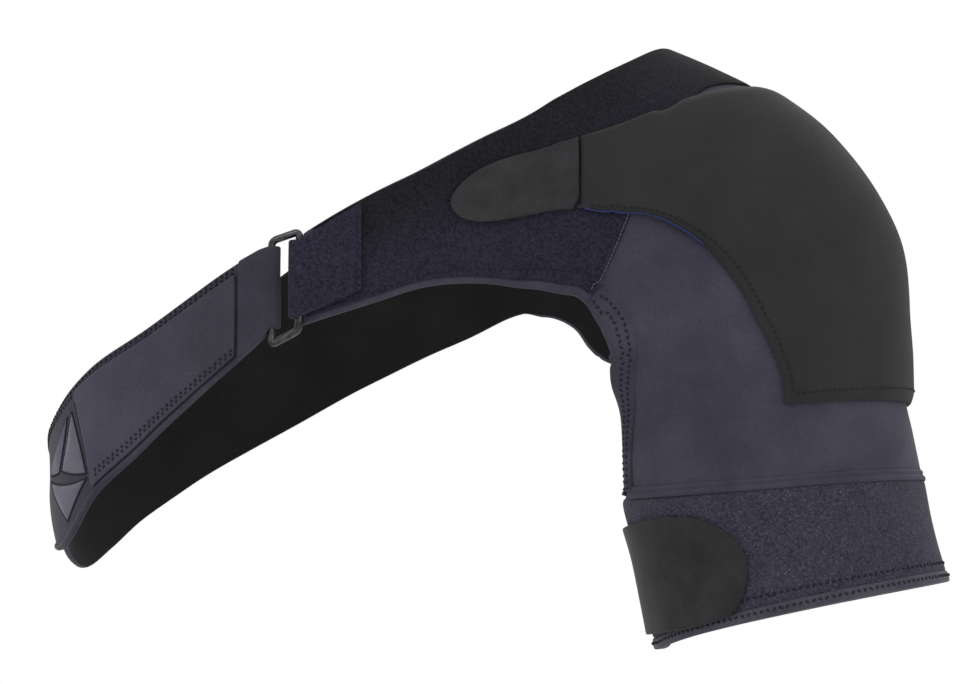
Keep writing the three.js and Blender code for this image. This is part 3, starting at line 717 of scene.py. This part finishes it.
# Shoulder pad
# A soft cover of foam and close woven cloth that wraps the cap. Its edges are pressed thin and
# stitched, its lower hem is turned up, and a thin blue cord runs in part of the inner edge.
pad_wall = 0.0038
pad_edge_share = 0.34
pad_columns = ["along", "low_run", "low_share", "top_run", "top_share"]
pad_rows = [
    [0, -0.345, 0.455, -0.365, 1],
    [0.12, -0.25, 0.437, -0.22, 1],
    [0.24, -0.15, 0.40, -0.07, 1],
    [0.36, -0.04, 0.362, 0.09, 1],
    [0.48, 0.08, 0.318, 0.25, 1],
    [0.58, 0.18, 0.288, 0.39, 1],
    [0.68, 0.29, 0.27, 0.485, 0.74],
    [0.78, 0.40, 0.246, 0.545, 0.60],
    [0.88, 0.50, 0.222, 0.60, 0.505],
    [0.94, 0.60, 0.20, 0.70, 0.575],
    [1, 0.689, 0.256, 0.795, 0.629],
]
pad_at = reader(pad_columns, pad_rows)
pad_ridge_end = 0.58
pad_base = neoprene_wall + clearance


def pad_seat(run):
    return mix(pad_base, facing_top + clearance, ease(run, seam_run - 0.25, seam_run - 0.11))


def pad_place(along, share, side):
    row = pad_at(along)
    run = mix(row["low_run"], row["top_run"], share)
    return rib_place(run, np.minimum(1, mix(row["low_share"], row["top_share"], share)), side), run


def pad_fullness(along, share, over_ridge):
    rim = np.minimum(np.minimum(along / 0.05, (1 - along) / 0.05), share / 0.06)
    rim = np.where(over_ridge, rim, np.minimum(rim, (1 - share) / 0.09))
    return mix(pad_edge_share, 1, np.sqrt(ease(rim, 0, 1)))


def pad_cap(u, v):
    along, share, front = pad_ridge_end * u, 1 - np.abs(2 * v - 1), v <= 0.5
    points, run = np.zeros(u.shape + (3,)), np.zeros(u.shape)
    points[front], run[front] = pad_place(along[front], share[front], -1)
    if (~front).any():
        points[~front], run[~front] = pad_place(along[~front], share[~front], 1)
    return lay(points, pad_seat(run) + pad_wall * pad_fullness(along, share, True))


def pad_lobe(u, v):
    along = mix(pad_ridge_end, 1, u)
    points, run = pad_place(along, v, -1)
    open_top = 1 - ease(along, pad_ridge_end, pad_ridge_end + 0.05)
    full = mix(pad_fullness(along, v, False), pad_fullness(along, v, True), open_top)
    return lay(points, pad_seat(run) + pad_wall * full)


pad_dark = (0.0225, 0.0209, 0.0211)
pad_light = (0.0295, 0.0276, 0.0274)


def close_weave(name, dark, light):
    """Close flat weave: fine crossing threads with a dry, even face."""
    material, nodes, links, shader = finish_nodes(name, 0.88, 0.05)
    place = nodes.new("ShaderNodeTexCoord").outputs["Object"]
    mottle = noise_node(nodes, links, place, 30, 3.0, 0.55)
    speck = noise_node(nodes, links, place, 1600, 2.0, 0.65)
    weave = knit_node(nodes, links, 0.0008, 0.0008)
    broad = ramp_node(nodes, links, mottle, [(0.3, dark), (0.72, light)])
    fine = ramp_node(nodes, links, speck, [(0.3, (0.72, 0.72, 0.72)), (0.7, (1.0, 1.0, 1.0))])
    rows = ramp_node(nodes, links, weave, [(0.0, (0.84, 0.84, 0.84)), (0.8, (1.0, 1.0, 1.0))])
    colour = blend_node(nodes, links, "MULTIPLY", 0.8, broad, fine)
    colour = blend_node(nodes, links, "MULTIPLY", 0.7, colour, rows)
    links.new(colour, shader.inputs["Base Color"])
    bump_nodes(nodes, links, shader, [(weave, 0.45, 0.0002), (speck, 0.3, 0.00012)])
    return material


pad_cloth = close_weave("pad_cloth", pad_dark, pad_light)
pad = bmesh.new()
cloth_grid(pad, 44, 92, pad_cap)
cloth_grid(pad, 34, 46, pad_lobe)
bmesh.ops.remove_doubles(pad, verts=pad.verts, dist=weld_distance)
pad_piece = cloth_piece("padded_cover", pad, pad_wall * 0.8, [pad_cloth])
dress(pad_piece, "pad", "shoulder_pad")


def pad_line(name, along, share, side, lift, material, slot, **how):
    mesh = bmesh.new()
    for one_along, one_share, one_side in zip(along, share, side):
        points, run = pad_place(one_along, one_share, one_side)
        over = pad_fullness(one_along, one_share, one_along < pad_ridge_end)
        points, out = lay(points, pad_seat(run) + pad_wall * over + lift)
        sew(mesh, points, out, **how)
    sewn_piece(name, mesh, material, slot)


pad_seam = 0 * line + 0.045
pad_line("pad_hem_stitches", [pad_seam] * 2, [mix(0.05, 1, line)] * 2, [-1, 1], stitch_lift,
         dark_thread, "pad")
pad_line("pad_edge_stitches", [mix(0.05, 0.985, line), mix(0.05, pad_ridge_end, line)],
         [pad_seam] * 2, [-1, 1], stitch_lift, dark_thread, "pad")

cord_blue = thread_finish("cord_blue", (0.028, 0.036, 0.115))
pad_line("pad_edge_cord", [mix(0.66, 0.995, line)], [0 * line + 0.004], [-1], -layer_gap,
         cord_blue, "pad", pitch=0.0012, length=0.0022, width=0.0012)


# Pad tab
# A round-ended tongue of hook tape, sewn under the pad's tip and pressed onto the loop facing.
tab_wall = 0.0018
tab_columns = ["along", "low_run", "low_share", "top_run", "top_share"]
tab_rows = [
    [0, 0.692, 0.257, 0.798, 0.627],
    [0.2, 0.80, 0.288, 0.88, 0.66],
    [0.4, 0.90, 0.298, 0.97, 0.715],
    [0.6, 1.0, 0.317, 1.05, 0.744],
    [0.75, 1.065, 0.355, 1.10, 0.742],
    [0.87, 1.115, 0.42, 1.14, 0.715],
    [0.95, 1.148, 0.50, 1.16, 0.67],
    [1, 1.165, 0.57, 1.168, 0.61],
]
tab_at = reader(tab_columns, tab_rows)
tab_top = facing_top + clearance + tab_wall


def hook_tape(name, dark, light):
    """The smooth back of hook tape: tight ribs with a slight shine and pressed specks."""
    material, nodes, links, shader = finish_nodes(name, 0.72, 0.06)
    place = nodes.new("ShaderNodeTexCoord").outputs["Object"]
    mottle = noise_node(nodes, links, place, 70, 4.0, 0.6)
    speck = noise_node(nodes, links, place, 1100, 2.0, 0.7)
    ribs = knit_node(nodes, links, 0.0013, 0.0010)
    broad = ramp_node(nodes, links, mottle, [(0.3, dark), (0.7, light)])
    fine = ramp_node(nodes, links, speck, [(0.3, (0.68, 0.68, 0.7)), (0.72, (1.0, 1.0, 1.0))])
    colour = blend_node(nodes, links, "MULTIPLY", 0.85, broad, fine)
    links.new(colour, shader.inputs["Base Color"])
    bump_nodes(nodes, links, shader, [(ribs, 0.5, 0.00022), (speck, 0.35, 0.00015)])
    return material


tab_tape = hook_tape("tab_tape", (0.0165, 0.0162, 0.0175), (0.031, 0.0305, 0.033))


def tab_place(u, v):
    row = tab_at(u)
    run = mix(row["low_run"], row["top_run"], v)
    return rib_place(run, mix(row["low_share"], row["top_share"], v), -1)


tab = bmesh.new()
cloth_grid(tab, 46, 22, lambda u, v: lay(tab_place(1 - (1 - u) ** 1.4, v), tab_top))
tab_piece = cloth_piece("hook_tab", tab, tab_wall, [tab_tape])
dress(tab_piece, "hook", "pad_tab")


# Ring
# One loop of plated steel wire. The front strap folds round its right bar and the belt round its
# left bar, so only its corners show.
ring_wire = 0.0032
ring_spread = 0.0115
ring_corner = 0.0022
bar_depth = neoprene_wall + clearance + ring_wire / 2
tip = np.ones(1)
tip_row = dict(zip(strap_columns, strap_rows[-1]))
tip_low = strap_edge(tip, strap_low_start, tip * tip_row["low_height"], tip * strap_low_depth)
tip_top = strap_edge(tip, strap_top_start, tip * tip_row["top_height"], tip * tip_row["top_depth"])
strap_tip = (tip_low + tip_top)[0] / 2
ring_angle = float(np.degrees(np.arctan2(
    -crown_beyond_armpit - chest_centre_inboard - strap_tip[0],
    chest_centre_back - strap_tip[1],
)))
ring_height = 0.12 * shoulder_reach
per_degree = float(np.linalg.norm(
    np.diff(on_chest(np.array([ring_angle, ring_angle + 1]), np.full(2, ring_height)), axis=0)
))
ring_corners = [[0, -0.041], [0, 0.273], [-ring_spread, 0.244], [-ring_spread, -0.086]]
corner_steps = 6
bar_steps = 8
ring_path = []
for corner, (spread, share) in enumerate(ring_corners):
    here = np.array([spread, share * shoulder_reach])
    before = np.array(ring_corners[corner - 1]) * (1, shoulder_reach)
    after = np.array(ring_corners[(corner + 1) % len(ring_corners)]) * (1, shoulder_reach)
    entry = here + unit(before - here) * ring_corner
    leave = here + unit(after - here) * ring_corner
    for t in np.linspace(0, 1, corner_steps):
        ring_path.append(entry * (1 - t) ** 2 + 2 * t * (1 - t) * here + leave * t * t)
    far = after + unit(here - after) * ring_corner
    for t in np.linspace(0, 1, bar_steps)[1:-1]:
        ring_path.append(mix(leave, far, t))
ring_path = np.array(ring_path)
ring_form = on_chest(ring_angle - ring_path[:, 0] / per_degree, ring_path[:, 1])
ring_points = ring_form + unit(outward(ring_form)) * bar_depth

wire = bpy.data.curves.new("ring_wire", "CURVE")
wire.dimensions = "3D"
wire.bevel_depth = ring_wire / 2
wire.bevel_resolution = 5
wire.resolution_u = 2
loop = wire.splines.new("POLY")
loop.points.add(len(ring_points) - 1)
for point, place in zip(loop.points, ring_points):
    point.co = (*place, 1)
loop.use_cyclic_u = True
drawn = in_scene("ring_wire", wire)
bpy.context.view_layer.update()
ring_mesh = bpy.data.meshes.new_from_object(drawn.evaluated_get(bpy.context.evaluated_depsgraph_get()))
bpy.data.objects.remove(drawn)
ring_mesh.polygons.foreach_set("use_smooth", [True] * len(ring_mesh.polygons))
ring_piece = in_scene("wire_ring", ring_mesh)
plating, nodes, links, shader = finish_nodes("plating", 0.3, 0, 1.0, 0.5)
place = nodes.new("ShaderNodeTexCoord").outputs["Object"]
wear = noise_node(nodes, links, place, 260, 4.0, 0.7)
links.new(ramp_node(nodes, links, wear, [(0.3, (0.020, 0.019, 0.021)), (0.65, (0.085, 0.080, 0.085))]),
          shader.inputs["Base Color"])
bump_nodes(nodes, links, shader, [(wear, 0.15, 0.0002)])
ring_mesh.materials.clear()
ring_mesh.materials.append(plating)
dress(ring_piece, "ring", "ring")


# Strap fold
# The front strap's end, thinned and covered in the same loop cloth, goes round the ring's right
# bar and is sewn back on the strap with one row of stitches.
flap_wall = 0.0026
fold_turn = clearance + (ring_wire + flap_wall) / 2
flap_length = 0.026
flap_depth = facing_top + tape_gap + flap_wall / 2
flap_low_heights = (-0.005, 0.085)
flap_top_heights = (0.246, 0.365)
fold_first_turn = radians(15)


def bent(form, depth, tilt, wall):
    """The outer face of cloth that turns about a bar, with its middle at a depth on the form."""
    out = unit(outward(form))
    right = unit(np.stack([out[:, 1], -out[:, 0], 0 * out[:, 0]], -1))
    across = out * np.cos(tilt)[:, None] + right * np.sin(tilt)[:, None]
    return form + out * (depth + ripple(form))[:, None] + across * wall / 2, across


def flap_height(s, v):
    low = mix(*flap_low_heights, s / flap_length)
    return mix(low, mix(*flap_top_heights, s / flap_length), v) * shoulder_reach


def fold_outer(u, v):
    arc = pi * fold_turn / (pi * fold_turn + flap_length)
    turn = mix(fold_first_turn, pi, np.clip(u / arc, 0, 1))
    s = flap_length * np.clip((u - arc) / (1 - arc), 0, 1)
    settled = mix(bar_depth + fold_turn, flap_depth, ease(s, 0, 0.009))
    on_arc = u < arc
    depth = np.where(on_arc, bar_depth - fold_turn * np.cos(turn), settled)
    aside = np.where(on_arc, -fold_turn * np.sin(turn), s)
    form = on_chest(ring_angle - aside / per_degree, flap_height(s, v))
    return bent(form, depth, np.where(on_arc, pi - turn, 0), flap_wall)


fold = bmesh.new()
cloth_grid(fold, 40, 22, fold_outer)
fold_piece = cloth_piece("loop_fold", fold, flap_wall, [fold_loops])
dress(fold_piece, "loop", "strap_fold")


short = np.linspace(0, 1, 60)
fold_points, fold_out = fold_outer(0 * short + 0.95, mix(0.05, 0.95, short))
fold_seam = bmesh.new()
sew(fold_seam, fold_points + fold_out * stitch_lift, fold_out)
sewn_piece("fold_end_stitches", fold_seam, dark_thread, "loop")


# Chest belt
# A long belt of thinner neoprene. It folds round the ring's left bar, is sewn back on itself, and
# runs round the chest to the back strap. A folded jersey rim covers its lower edge.
belt_wall = 0.002
belt_columns = ["along", "low_height", "top_height"]
belt_rows = [
    [0, -0.035, 0.227],
    [0.05, -0.088, 0.212],
    [0.15, -0.18, 0.153],
    [0.25, -0.27, 0.085],
    [0.35, -0.358, 0.015],
    [0.45, -0.455, -0.052],
    [0.55, -0.547, -0.118],
    [0.65, -0.645, -0.188],
    [0.75, -0.695, -0.262],
    [0.85, -0.692, -0.32],
    [1, -0.655, -0.40],
]
belt_at = reader(belt_columns, belt_rows)
belt_end_angle = 97
belt_start_angle = ring_angle + ring_spread / per_degree
belt_turn = clearance + (ring_wire + belt_wall) / 2
belt_return = 0.014
belt_low_angle = 48
belt_raised_angle = 62
belt_seam_start = belt_start_angle + 9
belt_zigzag = {"width": 0.0012, "zigzag": 0.9}
rim_wall = 0.0009


def belt_seat(angle):
    by_ring = bar_depth - belt_turn - belt_wall / 2
    near_ring = by_ring * (1 - ease(angle, belt_start_angle, belt_low_angle))
    return mix(near_ring, neoprene_wall + clearance, ease(angle, belt_low_angle, belt_raised_angle))


def belt_height(angle, v):
    row = belt_at((angle - belt_start_angle) / (belt_end_angle - belt_start_angle))
    return mix(row["low_height"], row["top_height"], v) * shoulder_reach


def belt_place(angle, v):
    return on_chest(angle, belt_height(angle, v))


def belt_fold(u, v):
    arc = pi * belt_turn / (pi * belt_turn + belt_return)
    back = belt_return * np.clip(1 - u / (1 - arc), 0, 1)
    turn = pi * np.clip((u - 1 + arc) / arc, 0, 1)
    angle = belt_start_angle + back / per_degree
    settled = belt_seat(angle) + 1.5 * belt_wall + tape_gap
    depth = np.where(back > 0, mix(bar_depth + belt_turn, settled, ease(back, 0, 0.7 * belt_return)),
                     bar_depth + belt_turn * np.cos(turn))
    aside = np.where(back > 0, -ring_spread - back, belt_turn * np.sin(turn) - ring_spread)
    form = on_chest(ring_angle - aside / per_degree, belt_height(angle, v))
    return bent(form, depth, -turn, belt_wall)


def belt_run(u, v):
    angle = mix(belt_start_angle, belt_end_angle, u)
    points, out = lay(belt_place(angle, v), belt_seat(angle))
    return points, -out


belt_jersey = jersey("belt_jersey", (0.030, 0.028, 0.042), (0.052, 0.048, 0.068))
belt = bmesh.new()
cloth_grid(belt, 22, 24, belt_fold)
cloth_grid(belt, 90, 24, belt_run)
bmesh.ops.remove_doubles(belt, verts=belt.verts, dist=weld_distance)
belt_piece = cloth_piece("jersey_belt", belt, belt_wall, [belt_jersey])
dress(belt_piece, "neoprene", "chest_belt")


def belt_line(name, start, end, v, material, slot, lift=0.0, **how):
    mesh = bmesh.new()
    angle = mix(start, end, line)
    points, out = lay(belt_place(angle, v), belt_seat(angle) + belt_wall + lift + stitch_lift)
    sew(mesh, points, out, **how)
    sewn_piece(name, mesh, material, slot)


for row, share in enumerate((0.925, 0.965), 1):
    belt_line(f"belt_top_stitches_{row}", belt_seam_start, 95, 0 * line + share,
              dark_thread, "neoprene", **belt_zigzag)


def belt_rim(u, v):
    angle = mix(belt_start_angle + 5, belt_end_angle - 0.4, u)
    crown = 4 * v * (1 - v)
    return lay(belt_place(angle, 0.055 * v), belt_seat(angle) + belt_wall + clearance + rim_wall * crown)


rim = bmesh.new()
cloth_grid(rim, 110, 6, belt_rim)
rim_piece = cloth_piece("belt_rim", rim, rim_wall, [binding_tape])
dress(rim_piece, "neoprene")


# Belt facing
# A smooth jersey panel along the middle of the belt, sewn down with dark stitches. Its colour has
# painted shade, darker and duller toward the ring.
belt_facing_wall = 0.0014
panel_lift = layer_gap + belt_facing_wall
panel_end_angles = (61.5, 67.5)
panel_low_margin = 0.026
panel_top_margin = 0.034
# Painted shade: the panel's colour darkens and dulls toward the ring.
belt_panel_jersey = jersey("belt_panel_jersey", (0.055, 0.051, 0.078), (0.073, 0.069, 0.102),
                           wear_and_painted_shade=[(0.02, (0.75, 0.75, 0.70)), (0.095, (1.0, 1.0, 1.0))])


def belt_facing_place(u, v):
    start = belt_start_angle + (belt_return + 0.0015) / per_degree
    angle = mix(start, mix(*panel_end_angles, v), u)
    row = belt_at((angle - belt_start_angle) / (belt_end_angle - belt_start_angle))
    height = mix(row["low_height"] + panel_low_margin, row["top_height"] - panel_top_margin, v)
    return on_chest(angle, height * shoulder_reach), angle


def belt_facing_outer(u, v):
    points, angle = belt_facing_place(u, v)
    return lay(points, belt_seat(angle) + belt_wall + layer_gap + belt_facing_wall)


belt_facing = bmesh.new()
cloth_grid(belt_facing, 70, 22, belt_facing_outer)
belt_facing_piece = cloth_piece("belt_loop_panel", belt_facing, belt_facing_wall, [belt_panel_jersey])
dress(belt_facing_piece, "loop", "belt_facing")
for row, share in enumerate((0.125, 0.165), 1):
    belt_line(f"belt_low_stitches_{row}", belt_seam_start, 61, 0 * line + share,
              dark_thread, "loop", panel_lift, length=0.0017, **belt_zigzag)
    belt_line(f"belt_ring_stitches_{row}", belt_start_angle + 2.5, belt_start_angle + 8.6,
              0 * line + share, dark_thread, "neoprene", length=0.0017, **belt_zigzag)
belt_line("belt_panel_stitches", 62.4, 67.6, mix(0.16, 0.86, line), dark_thread, "loop",
          lift=0.0004, pitch=0.0012, length=0.002, width=0.0009)


# Belt end
# Beside the panel the belt's end is pressed and sewn into three soft triangles with creases between
# them. Corners are degrees round the chest and shares of the belt's height.
belt_end_triangles = [
    [(70.6, 0.82), (80.5, 0.57), (74.6, 0.50)],
    [(68.9, 0.82), (73.4, 0.49), (63.9, 0.24)],
    [(71.6, 0.11), (80.0, 0.52), (63.7, 0.20)],
]
triangle_wall = 0.0004
triangle_crown = 0.0016
# Painted highlight: the triangles' colour is far paler than the belt's and stands in for light on the
# belt's end.
painted_highlight_cloth = jersey("belt_end_painted_highlight", (0.100, 0.095, 0.124), (0.160, 0.152, 0.190), 0.14)


def triangle_place(corners, u, v):
    first, second, third = (np.array(corner) for corner in corners)
    spot = first + (second - first) * u[:, None] + (third - second) * (u * v)[:, None]
    return belt_place(spot[:, 0], spot[:, 1]), spot[:, 0]


def triangle_outer(corners, u, v):
    points, angle = triangle_place(corners, u, v)
    rim = np.minimum(np.minimum(1 - u, u * v), u * (1 - v))
    crown = triangle_crown * np.sqrt(ease(rim, 0, 0.3))
    return lay(points, belt_seat(angle) + belt_wall + layer_gap + crown)


for number, corners in enumerate(belt_end_triangles, 1):
    soft = bmesh.new()
    cloth_grid(soft, 18, 14, lambda u, v, corners=corners: triangle_outer(corners, u, v))
    bmesh.ops.remove_doubles(soft, verts=soft.verts, dist=0.0001)
    dress(cloth_piece(f"belt_end_triangle_{number}", soft, triangle_wall, [painted_highlight_cloth]), "neoprene")
    crease = bmesh.new()
    for start, end in ((0, 1), (1, 2), (2, 0)):
        spot = mix(np.array(corners[start]), np.array(corners[end]), line[:, None])
        depth = belt_seat(spot[:, 0]) + belt_wall + layer_gap
        points, out = lay(belt_place(spot[:, 0], spot[:, 1]), depth)
        sew(crease, points, out, pitch=0.0011, length=0.0019, width=0.0010)
    sewn_piece(f"belt_end_creases_{number}", crease, dark_thread, "neoprene")


# Arm band
# A wide band of loop-faced neoprene sewn to the sleeve's end. It closes round the arm with a
# hook tab, and its open edge has a bound hem with a double row of stitches.
band_wall = 0.0036
hem_wall = 0.0042
hem_width = 0.006
band_start = -112
band_end = 247.8
hem_drop = 0.129
hem_dip = 0.012
seam_station = 0.60
seam_dip = 0.075
bend_reach = 170
welt_wall = 0.0006
welt_turns = (-77, 256)


def edge_bend(turn):
    return (1 - np.clip((bend_reach - np.abs(turn - 90)) / bend_reach, 0, 1)) ** 2


def seam_drop(turn):
    return (seam_station - seam_dip * edge_bend(turn)) * shoulder_reach


def hem_at(turn):
    return hem_drop + hem_dip * edge_bend(turn)


def band_place(u, v):
    turn = mix(band_start, band_end, u)
    top = seam_drop(turn) + clearance + 0.0012 * edge_bend(turn)
    return on_sleeve(-mix(top, hem_at(turn) - hem_width + 0.0014, v) / shoulder_reach, turn)


def hem_place(u, v):
    turn = mix(band_start, band_end, u)
    return on_sleeve(-mix(hem_at(turn) - hem_width, hem_at(turn), v) / shoulder_reach, turn)


band_loops = pile("band_loops", (0.016, 0.015, 0.026), (0.058, 0.053, 0.080), 0.06,
                  wear_and_painted_shade=(0.64, (0.20, 0.19, 0.22)))
band = bmesh.new()
cloth_grid(band, 110, 16,
           lambda u, v: lay(band_place(u, v), band_wall - 0.0004 * (1 - ease(v, 0, 0.06))))
band_piece = cloth_piece("loop_arm_band", band, band_wall, [band_loops, lining])
dress(band_piece, "neoprene", "arm_band")

hem_tape = jersey("hem_tape", (0.046, 0.043, 0.060), (0.090, 0.085, 0.110), 0.09)
hem = bmesh.new()
cloth_grid(hem, 110, 6, lambda u, v: lay(hem_place(u, v), hem_wall - 0.0007 * (2 * v - 1) ** 2))
hem_piece = cloth_piece("bound_hem", hem, hem_wall, [hem_tape])
dress(hem_piece, "webbing", "hem_binding")
around = np.linspace(0.005, 0.995, 300)
stitched_line("hem_stitches", hem_place, hem_wall, around, 0 * around + 0.45, dark_thread, "webbing",
              width=0.0011, zigzag=0.8)
stitched_line("band_hem_stitches", band_place, band_wall, around, 0 * around + 0.90,
              dark_thread, "webbing", width=0.0012, zigzag=0.7)


def seam_welt(u, v):
    turn = mix(*welt_turns, u)
    drop = seam_drop(turn) + mix(-0.0030, 0.0024, v)
    ridges = np.abs(np.sin(2 * pi * v))
    base = mix(neoprene_wall, band_wall, ease(v, 0.4, 0.6))
    return lay(on_sleeve(-drop / shoulder_reach, turn), base + layer_gap + welt_wall * ridges)


welt = bmesh.new()
cloth_grid(welt, 130, 12, seam_welt)
welt_piece = cloth_piece("band_seam_welt", welt, welt_wall, [sleeve_jersey])
dress(welt_piece, "neoprene")


# Arm tab
# A wide tongue of hook tape with a round end, sewn on the band's inner end and pressed on the loops.
arm_tab_columns = ["turn", "top_drop", "low_drop"]
arm_tab_rows = [
    [-118, 0.085, 0.133],
    [-57, 0.084, 0.134],
    [-48, 0.0852, 0.1332],
    [-41, 0.087, 0.132],
    [-36, 0.0905, 0.1305],
    [-30.5, 0.0955, 0.125],
    [-27, 0.101, 0.117],
    [-25.2, 0.106, 0.111],
]
arm_tab_at = reader(arm_tab_columns, arm_tab_rows)
arm_tab_top = hem_wall + tape_gap + tab_wall


def arm_tab_place(u, v):
    turn = mix(arm_tab_rows[0][0], arm_tab_rows[-1][0], 1 - (1 - u) ** 1.5)
    row = arm_tab_at(turn)
    return on_sleeve(-mix(row["top_drop"], row["low_drop"], v) / shoulder_reach, turn)


arm_tab = bmesh.new()
cloth_grid(arm_tab, 60, 34, lambda u, v: lay(arm_tab_place(u, v), arm_tab_top))
arm_tab_tape = hook_tape("arm_tab_tape", (0.0120, 0.0117, 0.0128), (0.0245, 0.0238, 0.0255))
arm_tab_piece = cloth_piece("hook_arm_tab", arm_tab, tab_wall, [arm_tab_tape])
dress(arm_tab_piece, "hook", "arm_tab")


# Studio
# A pale floor well below, a white surround and three soft lamps, seen from the front and a
# little below.
stage_floor = bpy.data.meshes.new("floor")
floor_mesh = bmesh.new()
bmesh.ops.create_grid(floor_mesh, x_segments=1, y_segments=1, size=6)
bmesh.ops.translate(floor_mesh, verts=floor_mesh.verts, vec=(0, 0, -0.75))
floor_mesh.to_mesh(stage_floor)
floor_mesh.free()
floor = in_scene("floor", stage_floor)
floor_paint, _, _, floor_shader = finish_nodes("pale_floor", 0.9)
floor_shader.inputs["Base Color"].default_value = (0.85, 0.85, 0.86, 1)
stage_floor.materials.append(floor_paint)

bpy.context.scene.view_settings.view_transform = "Standard"
world = bpy.data.worlds.new("studio")
bpy.context.scene.world = world
world.use_nodes = True
world.node_tree.nodes["Background"].inputs["Color"].default_value = (1, 1, 1, 1)
world.node_tree.nodes["Background"].inputs["Strength"].default_value = 1.0


def soft_light(name, place, aim, size, power):
    data = bpy.data.lights.new(name, "AREA")
    data.size = size
    data.energy = power
    lamp = in_scene(name, data)
    lamp.location = place
    lamp.rotation_euler = (Vector(aim) - Vector(place)).to_track_quat("-Z", "Y").to_euler()


middle = Vector((-0.1127, 0, -0.1119))
soft_light("key", (-1.0, -1.6, 1.3), middle, 1.2, 10)
soft_light("fill", (1.4, -1.3, 0.4), middle, 1.4, 5)
soft_light("back", (0.3, 1.4, 1.2), middle, 1.2, 6)

camera_distance = 1.5
camera_drop = radians(6)
focal_pixels = 3333
frame_pixels = 979
camera = bpy.data.cameras.new("camera")
camera.sensor_width = 36
camera.lens = camera.sensor_width * focal_pixels / frame_pixels
viewer = in_scene("camera", camera)
aim = Vector((0, cos(camera_drop), sin(camera_drop)))
viewer.location = middle - aim * camera_distance
viewer.rotation_euler = aim.to_track_quat("-Z", "Y").to_euler()
bpy.context.scene.camera = viewer
